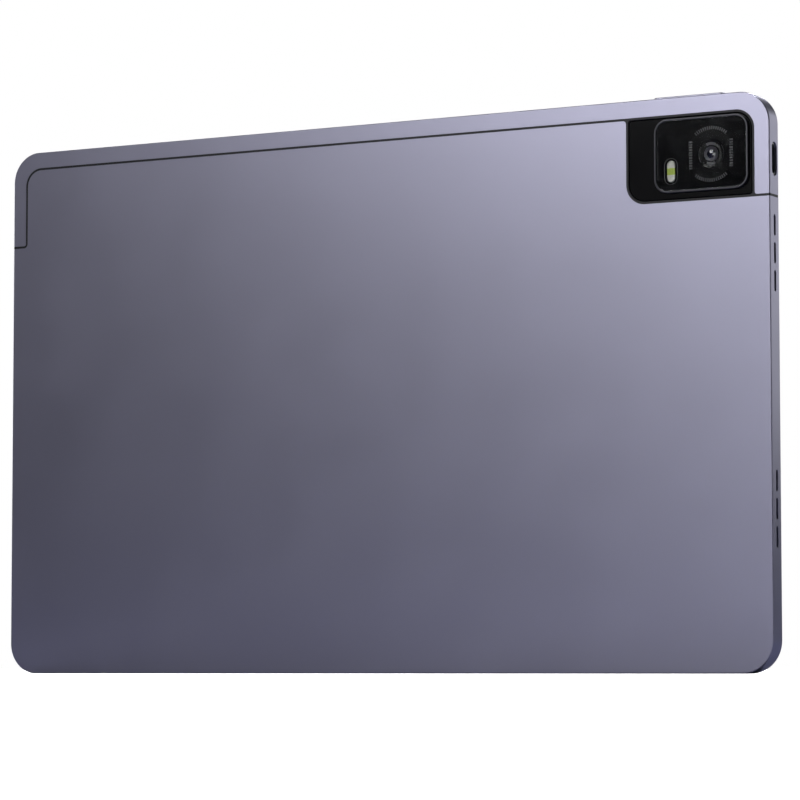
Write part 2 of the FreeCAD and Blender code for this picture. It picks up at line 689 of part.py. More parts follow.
def camera_lens():
    disc("camera_lens", LENS_X, f"{BARREL_BACK} + seat_gap", LENS_Z, "lens_radius", "ring_depth - seat_gap")


def camera_base():
    size = "camera_size"
    plate("camera_base", LENS_X, BASE_BACK, LENS_Z, size, "camera_depth", size, "camera_corner")


def camera_tape():
    """The camera's flexible cable, from its base to the connector on the main board."""
    left = f"({CAMERA_PLUG_X} - plug_width / 2)"
    right = f"({LENS_X} - camera_size / 2)"
    middle, width = f"({left} + {right}) / 2", f"{right} - {left}"
    plate("camera_tape", middle, PLUG_TOP, LENS_Z, width, "tape_thick", "plug_tall")


def flash_window():
    body = new_body("flash_window", FLASH_X, f"{TRIM_BACK} + seat_gap / 2", FLASH_Z)
    sketch = new_sketch(body, "XZ_Plane")
    pill(sketch, "0", "0", "flash_width", "flash_tall")
    pad(body, sketch, "flash_depth")


LED_BACK = f"({TRIM_BACK} + seat_gap / 2 + flash_depth)"


def flash_led():
    plate("flash_led", FLASH_X, LED_BACK, FLASH_Z, "led_size", "led_thick", "led_size")


# ---------------------------------------------------------------- display module

def cover_glass():
    width, tall = "length - 2 * glass_inset", "height - 2 * glass_inset"
    corner = "corner_radius - glass_inset"
    body = plate("cover_glass", "0", GLASS_BACK, MIDDLE, width, "glass_thick", tall, corner)
    front = number("glass_thick")
    bevel(body, lambda edge: edge.BoundBox.YMin > front - TOUCH, "glass_thick / 2")


def lcd_panel():
    y = f"{GLASS_BACK} - panel_thick"
    plate("lcd_panel", "0", y, MIDDLE, PANEL_WIDTH, "panel_thick", PANEL_TALL)


def backlight_films():
    y = f"{GLASS_BACK} - panel_thick - light_thick"
    width, tall = f"{PANEL_WIDTH} - 2 * light_inset", f"{PANEL_TALL} - 2 * light_inset"
    plate("backlight_films", "0", y, MIDDLE, width, "light_thick", tall)


def backlight_tray():
    """A shallow steel tray around the backlight films."""
    depth = "tray_thick + light_thick"
    body = plate("backlight_tray", "0", TRAY_BACK, MIDDLE, PANEL_WIDTH, depth, PANEL_TALL)
    sketch = new_sketch(body, "XZ_Plane", "tray_thick")
    rectangle(sketch, "0", "0", f"{PANEL_WIDTH} - 2 * light_inset", f"{PANEL_TALL} - 2 * light_inset")
    pocket(body, sketch, "light_thick")


def display_frame():
    """The plastic frame between the walls and the glass: a skirt inside the walls, a lip over them."""
    body = new_body("display_frame", "0", f"{RIM} - frame_skirt", MIDDLE)
    sketch = new_sketch(body, "XZ_Plane")
    inside = "(side_wall + seat_gap)"
    width, tall = f"length - 2 * {inside}", f"height - 2 * {inside}"
    rectangle(sketch, "0", "0", width, tall, f"corner_radius - {inside}")
    pad(body, sketch, "frame_skirt")
    sketch = new_sketch(body, "XZ_Plane", "frame_skirt")
    width, tall = "length - 2 * lip_inset", "height - 2 * lip_inset"
    rectangle(sketch, "0", "0", width, tall, "corner_radius - lip_inset")
    pad(body, sketch, "lip_thick")
    sketch = new_sketch(body, "XZ_Plane")
    rectangle(sketch, "0", "0", f"{PANEL_WIDTH} + 2 * panel_gap", f"{PANEL_TALL} + 2 * panel_gap")
    pocket(body, sketch, "thickness")
    sketch = new_sketch(body, "XZ_Plane")
    z = f"(height - selfie_drop - {MIDDLE})"
    rectangle(sketch, "0", z, "selfie_width + 2 * seat_gap", "selfie_tall + 2 * seat_gap")
    rectangle(sketch, "sensor_side", z, "sensor_width + 2 * seat_gap", "sensor_tall + 2 * seat_gap")
    pocket(body, sketch, "thickness")


def display_driver_board():
    y = f"{TRAY_BACK} - driver_thick"
    plate("display_driver_board", "0", y, DRIVER_Z, "driver_width", "driver_thick", "driver_tall")


def display_tape():
    """From the driver board up to the connector at the main board's foot."""
    low = f"({DRIVER_Z} - driver_tall / 2)"
    high = "(board_rise + 2 * plug_tall)"
    y = f"{TRAY_BACK} - driver_thick - tape_thick"
    middle, tall = f"({low} + {high}) / 2", f"{high} - {low}"
    plate("display_tape", DISPLAY_PLUG_X, y, middle, "2 * plug_width", "tape_thick", tall)


def front_camera():
    y = f"{GLASS_BACK} - selfie_depth"
    plate("front_camera", "0", y, "height - selfie_drop", "selfie_width", "selfie_depth", "selfie_tall")


def light_sensor():
    y = f"{GLASS_BACK} - sensor_depth"
    z = "height - selfie_drop"
    plate("light_sensor", "sensor_side", y, z, "sensor_width", "sensor_depth", "sensor_tall")


# ---------------------------------------------------------------- battery

def battery_cell(label, sign):
    x = f"cell_shift {sign} (cell_gap + cell_width) / 2"
    plate(label, x, CELL_BACK, MIDDLE, "cell_width", CELL_THICK, "cell_tall", "cell_corner")


def battery_adhesive():
    """Two strips under each cell."""
    body = new_body("battery_adhesive", "cell_shift", FLOOR, MIDDLE)
    sketch = new_sketch(body, "XZ_Plane")
    for cell in "+-":
        for strip in "+-":
            x = f"{cell} (cell_gap + cell_width) / 2 {strip} cell_width / 4"
            rectangle(sketch, x, "0", "glue_width", "cell_tall - 2 * cell_corner")
    pad(body, sketch, "glue_thick")


GUARD_Z = f"({MIDDLE} + cell_tall / 2 + guard_gap + guard_tall / 2)"


def battery_guard_board():
    x = f"{CELL_RIGHT} - guard_width / 2"
    y = f"{PLUG_TOP} - guard_thick"
    plate("battery_guard_board", x, y, GUARD_Z, "guard_width", "guard_thick", "guard_tall")


def battery_tape():
    left = f"({CELL_RIGHT} - guard_gap - plug_width)"
    right = f"({BATTERY_PLUG_X} + plug_width / 2)"
    middle, width = f"({left} + {right}) / 2", f"{right} - {left}"
    plate("battery_tape", middle, PLUG_TOP, GUARD_Z, width, "tape_thick", "guard_tall")


# ---------------------------------------------------------------- main board

def main_board():
    z = "board_rise + board_tall / 2"
    body = plate("main_board", BOARD_MIDDLE, BOARD_BACK, z, "board_width", "board_thick", "board_tall")
    sketch = new_sketch(body, "XZ_Plane")
    for x, place_z in screw_places():
        circle(sketch, f"{x} - {BOARD_MIDDLE}", f"{place_z} - ({z})", "thread_radius + screw_gap")
    pocket(body, sketch, "board_thick")


def board_screws():
    """Four screws: heads on the board, threads in the housing's bosses."""
    body = new_body("board_screws", "0", BOARD_FRONT, "0")
    sketch = new_sketch(body, "XZ_Plane")
    for x, z in screw_places():
        circle(sketch, x, z, "head_radius")
    pad(body, sketch, "head_thick")
    sketch = new_sketch(body, "XZ_Plane")
    for x, z in screw_places():
        circle(sketch, x, z, "thread_radius")
    pad(body, sketch, "board_thick + screw_bite", positive=False)


def board_connectors():
    """Sockets for the display, battery, camera and port cables."""
    body = new_body("board_connectors", "0", BOARD_FRONT, "0")
    sketch = new_sketch(body, "XZ_Plane")
    rectangle(sketch, CAMERA_PLUG_X, LENS_Z, "plug_width", "plug_tall")
    rectangle(sketch, PORT_PLUG_X, PORT_TAPE_Z, "plug_width", "plug_tall / 2")
    rectangle(sketch, BATTERY_PLUG_X, GUARD_Z, "plug_width", "plug_tall / 2")
    foot = "board_rise + 1.5 * plug_tall"
    rectangle(sketch, DISPLAY_PLUG_X, foot, "2 * plug_width", "plug_tall / 2")
    pad(body, sketch, "plug_depth")


def shield_can(label, y, tall, opens_forward):
    """A folded sheet can, open towards the board."""
    body = plate(label, BOARD_MIDDLE, y, f"{CAN_TOP} - {tall} / 2", "can_width", "can_depth", tall)
    sketch = new_sketch(body, "XZ_Plane", "can_wall" if opens_forward else "0")
    rectangle(sketch, "0", "0", "can_width - 2 * can_wall", f"{tall} - 2 * can_wall")
    pocket(body, sketch, "can_depth - can_wall")


def rear_shield():
    shield_can("rear_shield", f"{BOARD_BACK} - can_depth", "rear_can_tall", True)


def front_shield():
    shield_can("front_shield", BOARD_FRONT, "front_can_tall", False)


def front_chip(label, size, drop):
    """A chip on the board's front, under the front shield."""
    plate(label, BOARD_MIDDLE, BOARD_FRONT, f"{CAN_TOP} - ({drop})", size, "chip_thick", size)


def rear_chips(label, chips):
    """Chips on the board's back, under the rear shield, as (size, drop from the can's top)."""
    body = new_body(label, BOARD_MIDDLE, f"{BOARD_BACK} - chip_thick", CAN_TOP)
    sketch = new_sketch(body, "XZ_Plane")
    for size, drop in chips:
        rectangle(sketch, "0", f"-({drop})", size, size)
    pad(body, sketch, "chip_thick")


def thermal_pad():
    y = f"{BOARD_FRONT} + can_depth"
    z = f"{CAN_TOP} - front_can_tall / 2"
    depth = f"{TRAY_BACK} - {BOARD_FRONT} - can_depth"
    plate("thermal_pad", BOARD_MIDDLE, y, z, "pad_width", depth, "pad_tall")


# ---------------------------------------------------------------- charging port

DAUGHTER_RIGHT = "(length / 2 - side_wall - mesh_gap)"
DAUGHTER_LOW = "(height - seam_foot - daughter_rise)"
DAUGHTER_TALL = f"(height - corner_radius - {DAUGHTER_LOW})"
DAUGHTER_X = f"({DAUGHTER_RIGHT} - daughter_width / 2)"
PORT_TAPE_Z = f"({DAUGHTER_LOW} + plug_tall / 4 + seat_gap)"


def usb_shell():
    """The port's steel shell: an oval tube, closed at its inner end."""
    body = new_body("usb_shell", SHELL_X, "port_depth", PORT_Z)
    sketch = new_sketch(body, "YZ_Plane")
    pill(sketch, "0", "0", "shell_thick", "shell_tall")
    pad(body, sketch, "shell_reach")
    sketch = new_sketch(body, "YZ_Plane", "shell_wall")
    pill(sketch, "0", "0", "shell_thick - 2 * shell_wall", "shell_tall - 2 * shell_wall")
    pocket(body, sketch, "shell_reach", positive=True)


def usb_tongue():
    body = new_body("usb_tongue", f"{SHELL_X} + shell_wall", "port_depth", PORT_Z)
    sketch = new_sketch(body, "YZ_Plane")
    rectangle(sketch, "0", "0", "tongue_thick", "tongue_tall")
    pad(body, sketch, "tongue_reach")


def usb_contacts():
    """Rows of contacts on both faces of the tongue."""
    body = new_body("usb_contacts", f"{SHELL_X} + shell_wall", "port_depth", PORT_Z)
    sketch = new_sketch(body, "YZ_Plane")
    count = int(number("contact_count"))
    for face in "+-":
        for index in range(count):
            y = f"{face} (tongue_thick + contact_thick) / 2"
            z = f"({index} - (contact_count - 1) / 2) * contact_pitch"
            rectangle(sketch, y, z, "contact_thick", "contact_width")
    pad(body, sketch, "contact_reach")


def port_board():
    """The small board that carries the port, notched around the shell, ending below the corner."""
    z = f"{DAUGHTER_LOW} + {DAUGHTER_TALL} / 2"
    y = f"{PLUG_TOP} - board_thick"
    body = plate("port_board", DAUGHTER_X, y, z, "daughter_width", "board_thick", DAUGHTER_TALL)
    sketch = new_sketch(body, "XZ_Plane")
    left = f"({SHELL_X} - notch_gap)"
    right = f"({DAUGHTER_RIGHT} + notch_gap)"
    x = f"({left} + {right}) / 2 - {DAUGHTER_X}"
    rectangle(sketch, x, f"{PORT_Z} - ({z})", f"{right} - {left}", "shell_tall + 2 * notch_gap")
    pocket(body, sketch, "board_thick")


def port_tape():
    """From the port board under the camera to the main board."""
    left = f"({PORT_PLUG_X} - plug_width / 2)"
    right = f"({DAUGHTER_X} - daughter_width / 2 + plug_width)"
    middle, width = f"({left} + {right}) / 2", f"{right} - {left}"
    plate("port_tape", middle, PLUG_TOP, PORT_TAPE_Z, width, "tape_thick", "plug_tall / 2")


# ---------------------------------------------------------------- speakers and microphone

def speaker_x(side):
    sign = "+" if side == "right" else "-"
    return f"({sign} (length / 2 - side_wall - mesh_gap - speaker_width / 2))"


def speaker_box(side, level, z):
    """A sound box: open at the front under its diaphragm, with a mouth at the slots."""
    body = plate(f"speaker_box_{side}_{level}", speaker_x(side), CELL_BACK, z,
                 "speaker_width", SPEAKER_DEPTH, "speaker_tall", "speaker_wall")
    sketch = new_sketch(body, "XZ_Plane", "speaker_wall")
    rectangle(sketch, "0", "0", "speaker_width - 2 * speaker_wall", "speaker_tall - 2 * speaker_wall")
    pocket(body, sketch, SPEAKER_DEPTH)
    outer = "speaker_width / 2" if side == "right" else "-speaker_width / 2"
    sketch = new_sketch(body, "YZ_Plane", outer)
    rectangle(sketch, f"slot_depth - {CELL_BACK}", "0", "slot_width", "2 * slot_pitch + slot_length")
    pocket(body, sketch, "speaker_wall + seat_gap", positive=side == "left")


def speaker_places():
    return [(speaker_x(side), z) for side in ("right", "left") for z in speaker_heights()]


def speaker_magnets():
    body = new_body("speaker_magnets", "0", f"{CELL_BACK} + speaker_wall", "0")
    sketch = new_sketch(body, "XZ_Plane")
    for x, z in speaker_places():
        circle(sketch, x, z, "magnet_radius")
    pad(body, sketch, "magnet_thick")


def speaker_diaphragms():
    """A film over each box, with a flat dome above the magnet."""
    body = new_body("speaker_diaphragms", "0", f"{CELL_BACK} + {SPEAKER_DEPTH}", "0")
    sketch = new_sketch(body, "XZ_Plane")
    for x, z in speaker_places():
        rectangle(sketch, x, z, "speaker_width", "speaker_tall", "speaker_wall")
    pad(body, sketch, "cone_thick")


def speaker_meshes():
    """Dust meshes between the side walls and the sound boxes."""
    body = new_body("speaker_meshes")
    for side in ("right", "left"):
        sign = "" if side == "right" else "-"
        sketch = new_sketch(body, "YZ_Plane", f"{sign} (length / 2 - side_wall)")
        for z in speaker_heights():
            rectangle(sketch, "slot_depth", z, "mesh_tall", "speaker_tall - 2 * speaker_wall")
        pad(body, sketch, "mesh_thick", positive=side == "left")


def microphone():
    body = new_body("microphone", f"{LEFT} + side_wall", "slot_depth", f"{MIDDLE} + mic_offset")
    sketch = new_sketch(body, "YZ_Plane")
    rectangle(sketch, "0", "0", "mic_size", "mic_size")
    pad(body, sketch, "mic_thick")


# ---------------------------------------------------------------- buttons

def volume_rocker():
    """One rocking cap: its flange stays inside the wall, with a nub at each end."""
    body = new_body("volume_rocker", ROCKER_X, "slot_depth", FLANGE_TOP)
    sketch = new_sketch(body, "XY_Plane", "-flange_thick")
    pill(sketch, "0", "0", "rocker_length + 2 * flange_extra", "rocker_width + 2 * flange_side")
    pad(body, sketch, "flange_thick")
    sketch = new_sketch(body, "XY_Plane")
    pill(sketch, "0", "0", "rocker_length", "rocker_width")
    pad(body, sketch, "rocker_swing + side_wall + rocker_rise")
    sketch = new_sketch(body, "XY_Plane", "-flange_thick")
    circle(sketch, "nub_offset", "0", "nub_radius")
    circle(sketch, "-nub_offset", "0", "nub_radius")
    pad(body, sketch, "nub_height", positive=False)
    top = number("rocker_swing + side_wall + rocker_rise")
    bevel(body, lambda edge: edge.BoundBox.ZMin > top - TOUCH, "button_gap")


def volume_switches():
    """Two dome switches on their strip."""
    body = new_body("volume_switches", ROCKER_X, "slot_depth", SWITCH_TOP)
    sketch = new_sketch(body, "XY_Plane")
    rectangle(sketch, "0", "0", "rocker_length", "rocker_width + 2 * flange_side")
    pad(body, sketch, "tape_thick", positive=False)
    sketch = new_sketch(body, "XY_Plane")
    circle(sketch, "nub_offset", "0", "dome_radius")
    circle(sketch, "-nub_offset", "0", "dome_radius")
    pad(body, sketch, "dome_height")


def rocker_bracket():
    """The bracket that holds the switch strip up against the rocker."""
    body = new_body("rocker_bracket", ROCKER_X, "slot_depth", f"{SWITCH_TOP} - tape_thick")
    sketch = new_sketch(body, "XY_Plane")
    rectangle(sketch, "0", "0", "rocker_length + 2 * flange_extra", "rocker_width + 2 * flange_side")
    pad(body, sketch, "bracket_thick", positive=False)


def power_key():
    """A sliding cap: flange inside the wall, nub towards its switch."""
    body = new_body("power_key", f"{LEFT} + side_wall + key_play", "slot_depth", PORT_Z)
    sketch = new_sketch(body, "YZ_Plane")
    pill(sketch, "0", "0", "rocker_width + 2 * flange_side", "key_length + 2 * flange_extra")
    pad(body, sketch, "flange_thick")
    sketch = new_sketch(body, "YZ_Plane")
    pill(sketch, "0", "0", "rocker_width", "key_length")
    pad(body, sketch, "key_play + side_wall + key_rise", positive=False)
    sketch = new_sketch(body, "YZ_Plane", "flange_thick")
    circle(sketch, "0", "0", "nub_radius")
    pad(body, sketch, "nub_height")
    outer = number("-(key_play + side_wall + key_rise)")
    bevel(body, lambda edge: edge.BoundBox.XMax < outer + TOUCH, "button_gap")


def power_switch():
    x = f"{LEFT} + side_wall + key_play + flange_thick + nub_height + key_dome_gap"
    body = new_body("power_switch", x, "slot_depth", PORT_Z)
    sketch = new_sketch(body, "YZ_Plane")
    circle(sketch, "0", "0", "dome_radius")
    pad(body, sketch, "dome_height")
    sketch = new_sketch(body, "YZ_Plane", "dome_height")
    rectangle(sketch, "0", "0", "rocker_width + 2 * flange_side", "key_length")
    pad(body, sketch, "bracket_thick")


# ---------------------------------------------------------------- card tray

def card_tray():
    """A door with an eject hole, and a carrier with a seat for the card."""
    body = new_body("card_tray", LEFT, "slot_depth", MIDDLE)
    sketch = new_sketch(body, "YZ_Plane")
    pill(sketch, "0", "0", "door_width", "door_length")
    pad(body, sketch, "side_wall")
    sketch = new_sketch(body, "YZ_Plane", "side_wall")
    rectangle(sketch, "0", "0", "carrier_thick", "carrier_tall")
    pad(body, sketch, "carrier_reach")
    sketch = new_sketch(body, "XZ_Plane", "-carrier_thick / 2")
    x = "side_wall + carrier_reach / 2"
    rectangle(sketch, x, "0", "card_reach", "card_tall")
    pocket(body, sketch, "card_sink")
    sketch = new_sketch(body, "YZ_Plane")
    circle(sketch, "0", "pin_offset", "pin_radius")
    pocket(body, sketch, "side_wall")


def card_cage():
    """The steel cage that guides the carrier, open towards the door."""
    body = new_body("card_cage", f"{LEFT} + side_wall + mesh_gap", "slot_depth", MIDDLE)
    sketch = new_sketch(body, "YZ_Plane")
    width = "carrier_thick + 2 * cage_gap"
    tall = "carrier_tall + 2 * cage_gap"
    rectangle(sketch, "0", "0", f"{width} + 2 * cage_wall", f"{tall} + 2 * cage_wall")
    pad(body, sketch, "cage_reach")
    sketch = new_sketch(body, "YZ_Plane")
    rectangle(sketch, "0", "0", width, tall)
    pocket(body, sketch, "cage_reach - cage_wall")


# ---------------------------------------------------------------- antennas

def antenna_films():
    """Two films on the inside of the cover's top strip."""
    z = "height - side_wall - seat_gap - antenna_width / 2"
    body = new_body("antenna_films", "0", FLOOR, z)
    sketch = new_sketch(body, "XZ_Plane")
    rectangle(sketch, "antenna_side", "0", "antenna_length", "antenna_width")
    rectangle(sketch, "-antenna_side", "0", "antenna_length", "antenna_width")
    pad(body, sketch, "tape_thick")


def coax_cable():
    """A thin cable from an antenna film down and across to the main board."""
    x = "antenna_side - antenna_length / 4"
    z = "height - side_wall - seat_gap - antenna_width"
    body = new_body("coax_cable", x, f"{FLOOR} + tape_thick + coax_radius", z)
    path = new_sketch(body, "XZ_Plane")
    far = f"{BOARD_LEFT} - ({x}) - coax_bend"
    bend = number("coax_bend")
    start = FreeCAD.Vector(0, 0, 0)
    turn = FreeCAD.Vector(0, -bend, 0)
    leave = FreeCAD.Vector(bend, -2 * bend, 0)
    end = FreeCAD.Vector(number(far), -2 * bend, 0)
    corner = Part.Circle(FreeCAD.Vector(bend, -bend, 0), FreeCAD.Vector(0, 0, 1), bend)
    quarter = Part.ArcOfCircle(corner, corner.parameter(turn), corner.parameter(leave))
    down = path.addGeometry(Part.LineSegment(start, turn), False)
    arc = path.addGeometry(quarter, False)
    across = path.addGeometry(Part.LineSegment(leave, end), False)
    path.addConstraint(Sketcher.Constraint("Coincident", down, 1, -1, 1))
    path.addConstraint(Sketcher.Constraint("Vertical", down))
    path.addConstraint(Sketcher.Constraint("Tangent", down, 2, arc, 1))
    path.addConstraint(Sketcher.Constraint("Tangent", arc, 2, across, 1))
    path.addConstraint(Sketcher.Constraint("Horizontal", across))
    constrain(path, "Radius", (arc,), "coax_bend")
    constrain(path, "DistanceY", (-1, 1, across, 2), "-2 * coax_bend")
    constrain(path, "DistanceX", (-1, 1, across, 2), far)
    profile = new_sketch(body, "XY_Plane")
    circle(profile, "0", "0", "coax_radius")
    pipe = body.newObject("PartDesign::AdditivePipe", "coax_cable_pipe")
    pipe.Profile = (profile, [""])
    pipe.Spine = (path, ["Edge1", "Edge2", "Edge3"])


def build_all():
    rear_housing()
    antenna_cover()
    seam_insert()
    camera_deck()
    camera_window_frame()
    camera_window()
    camera_trim_plate()
    camera_barrel()
    lens_ring()
    camera_lens()
    camera_base()
    camera_tape()
    flash_window()
    flash_led()
    cover_glass()
    lcd_panel()
    backlight_films()
    backlight_tray()
    display_frame()
    display_driver_board()
    display_tape()
    front_camera()
    light_sensor()
    battery_cell("battery_cell_left", "-")
    battery_cell("battery_cell_right", "+")
    battery_adhesive()
    battery_guard_board()
    battery_tape()
    main_board()
    board_screws()
    board_connectors()
    rear_shield()
    front_shield()
    front_chip("processor", "processor_size", "processor_size")
    front_chip("memory_chip", "memory_size", "2 * processor_size + memory_size / 2")
    rear_chips("storage_chip", [("storage_size", "storage_size")])
    rear_chips("power_and_radio_chips", [
        ("power_size", "2 * storage_size + power_size / 2"),
        ("radio_size", "3 * storage_size + radio_size"),
    ])
    thermal_pad()
    usb_shell()
    usb_tongue()
    usb_contacts()
    port_board()
    port_tape()
    for side in ("right", "left"):
        for level, z in zip(("upper", "lower"), speaker_heights()):
            speaker_box(side, level, z)
    speaker_magnets()
    speaker_diaphragms()
    speaker_meshes()
    microphone()
    volume_rocker()
    volume_switches()
    rocker_bracket()
    power_key()
    power_switch()
    card_tray()
    card_cage()
    antenna_films()
    coax_cable()


def check_and_export():
    """Stop if anything failed to compute, then write one file for each body."""
    doc.recompute()
    for thing in doc.Objects:
        if "Invalid" in thing.State or "Error" in thing.State:
            raise RuntimeError(f"{thing.Name} did not compute: {thing.State}")
    bodies = [thing for thing in doc.Objects if thing.TypeId == "PartDesign::Body"]
    for body in bodies:
        if body.Shape.isNull() or not body.Shape.isValid() or not body.Shape.Solids:
            raise RuntimeError(f"{body.Label} has no valid shape")
    os.makedirs("parts", exist_ok=True)
    for body in bodies:
        body.Shape.exportStep(f"parts/{body.Label}.step")
    print(f"{len(bodies)} parts written")


fill_sheet()
build_all()
check_and_export()
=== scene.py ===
import json
import math

import bmesh
import bpy
import numpy as np
from mathutils import Matrix, Vector


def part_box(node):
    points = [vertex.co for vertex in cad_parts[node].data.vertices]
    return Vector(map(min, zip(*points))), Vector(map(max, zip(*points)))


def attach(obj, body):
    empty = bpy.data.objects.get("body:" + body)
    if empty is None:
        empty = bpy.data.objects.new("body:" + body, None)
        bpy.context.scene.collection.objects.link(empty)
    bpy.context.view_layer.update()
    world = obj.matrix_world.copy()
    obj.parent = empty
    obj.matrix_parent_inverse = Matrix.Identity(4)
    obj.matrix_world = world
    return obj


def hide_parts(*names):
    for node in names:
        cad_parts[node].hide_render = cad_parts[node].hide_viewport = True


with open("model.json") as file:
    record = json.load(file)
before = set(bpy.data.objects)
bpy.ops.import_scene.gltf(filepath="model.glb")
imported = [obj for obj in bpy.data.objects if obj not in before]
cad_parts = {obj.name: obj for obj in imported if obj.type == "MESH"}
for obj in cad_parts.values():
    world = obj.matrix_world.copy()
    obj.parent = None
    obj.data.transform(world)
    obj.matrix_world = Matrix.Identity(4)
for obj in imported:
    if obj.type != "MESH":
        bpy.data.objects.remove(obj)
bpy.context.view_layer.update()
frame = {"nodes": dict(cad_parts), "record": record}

bl_info = {
    "name": "Tablet computer",
    "version": (1, 0, 0),
    "blender": (4, 5, 0),
    "location": "3D View > Sidebar > Tablet",
    "description": "Builds a tablet's shell, camera island, screen, buttons and port around its frame",
    "category": "Object",
}

MM = 0.001
TURN = 2 * math.pi
BODY = "tablet_body"

METAL_COLOUR = (0.47, 0.465, 0.60)
SEAM_COLOUR = (0.022, 0.022, 0.027)
METAL_ROUGHNESS = 0.31
COVER_ROUGHNESS = 0.32
METAL_SHARE = 0.9
SEAM_ROUGHNESS = 0.42
ARC_STEPS = 20
OUTLINE_STEPS = 24
CUT_REACH = 10 * MM
SHARP_ANGLE = 35

HOUSING_LOW, HOUSING_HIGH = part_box("rear_housing")
COVER_LOW, COVER_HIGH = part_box("antenna_cover")
SEAM_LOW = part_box("seam_insert")[0]
DECK_LOW, DECK_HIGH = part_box("camera_deck")
WINDOW_LOW, WINDOW_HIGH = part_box("camera_window_frame")
PANE_LOW, PANE_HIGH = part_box("camera_window")
TRIM_LOW, TRIM_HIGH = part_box("camera_trim_plate")
BARREL_LOW, BARREL_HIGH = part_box("camera_barrel")
RING_LOW, RING_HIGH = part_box("lens_ring")
LENS_LOW, LENS_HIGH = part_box("camera_lens")
FLASH_LOW, FLASH_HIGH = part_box("flash_window")
GLASS_LOW, GLASS_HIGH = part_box("cover_glass")
LIP_LOW, LIP_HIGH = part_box("display_frame")
PORT_LOW, PORT_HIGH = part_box("usb_shell")

RIGHT = HOUSING_HIGH.x
TOP = COVER_HIGH.z
BACK = HOUSING_LOW.y
RIM = HOUSING_HIGH.y
SEAM_WIDTH = COVER_LOW.z - SEAM_LOW.z
MIDDLE_HEIGHT = TOP / 2
OUTLINE = (0, MIDDLE_HEIGHT, 2 * RIGHT, TOP)


def middle(low, high):
    return (low + high) / 2


# ---- settings

def length_setting(name, description, default):
    return bpy.props.FloatProperty(name=name, description=description, default=default, unit="LENGTH")


def count_setting(name, description, default):
    return bpy.props.IntProperty(name=name, description=description, default=default, min=4)


def colour_setting(name, description, default):
    return bpy.props.FloatVectorProperty(
        name=name, description=description, default=default, subtype="COLOR", size=3)


class TabletShellSizes(bpy.types.PropertyGroup):
    """Sizes of the outer shell that its box doesn't give."""

    corner: length_setting("Corner radius", "Radius of the outline's corners", 9.3 * MM)
    bevel: length_setting("Back bevel", "Bevel between the back and the sides", 0.35 * MM)
    wall: length_setting("Wall", "Thickness of the side walls", 1.2 * MM)
    back_wall: length_setting("Back wall", "Thickness of the back", 0.8 * MM)
    seam_side: length_setting("Seam inset", "Side edge to the seam's centre", 4.95 * MM)
    seam_corner: length_setting("Seam corner", "Centre radius of the seam's top corners", 5.3 * MM)
    seam_turn: length_setting("Seam turn", "Radius where the seam turns to the side", 1.0 * MM)
    softness: length_setting("Edge softness", "Width of the smallest edge rounding", 0.06 * MM)
    slot_length: length_setting("Sound slot length", "Length of one sound slot", 5.95 * MM)
    slot_width: length_setting("Sound slot width", "Width of one sound slot", 1.3 * MM)
    slot_pitch: length_setting("Sound slot pitch", "Spacing of the sound slots", 7.87 * MM)
    slot_depth: length_setting("Slot line", "Place of slots and buttons along Y", -0.2 * MM)
    rocker_length: length_setting("Rocker length", "Volume rocker along X", 22 * MM)
    key_length: length_setting("Key length", "Power key along Z", 10 * MM)
    button_width: length_setting("Button width", "Both buttons along Y", 2.4 * MM)
    gap: length_setting("Button gap", "Gap around a button in its slot", 0.17 * MM)


class TabletIslandSizes(bpy.types.PropertyGroup):
    """Sizes of the camera island that its boxes don't give."""

    corner: length_setting("Island corner", "Large bottom corner of the island", 5.8 * MM)
    notch: length_setting("Housing notch", "Housing corner at the island's top", 1.0 * MM)
    deck_corner: length_setting("Deck corner", "Small corners of the deck", 0.9 * MM)
    window_corner: length_setting("Window corner", "Corner of the camera window's frame", 4.0 * MM)
    frame_width: length_setting("Frame width", "Width of the window's frame", 0.6 * MM)
    mark_radius: length_setting("Mark radius", "Middle radius of the ticks around the lens", 7.5 * MM)
    mark_length: length_setting("Mark length", "Length of one tick", 0.95 * MM)
    mark_count: count_setting("Marks", "Ticks in each arc", 16)
    bar_offset: length_setting("Bar offset", "Lens to each ladder of level lines", 6.25 * MM)
    bar_count: count_setting("Bar lines", "Level lines in each ladder", 11)


class TabletFinishes(bpy.types.PropertyGroup):
    """Colours of the visible finishes."""

    metal: colour_setting("Metal", "Anodised housing", METAL_COLOUR)
    cover: colour_setting("Cover", "Painted antenna cover", METAL_COLOUR)
    seam: colour_setting("Seam", "Seam and island rim", SEAM_COLOUR)
    black: colour_setting("Black", "Island deck and trim", (0.006, 0.006, 0.007))
    # the marks colour serves both the print and the painted highlight arcs above and below the lens
    marks: colour_setting("Marks", "Print and painted highlights around the lens", (0.21, 0.21, 0.215))
    floor: colour_setting("Floor", "Studio floor", (0.9, 0.9, 0.9))


# ---- surfaces

def spread(plane, across, up, out):
    """Points from two in-plane coordinates and one along the normal, for the XZ, YZ or XY plane."""
    order = {"XZ": (across, out, up), "YZ": (out, across, up), "XY": (across, up, out)}[plane]
    return np.stack(np.broadcast_arrays(*order), axis=-1)


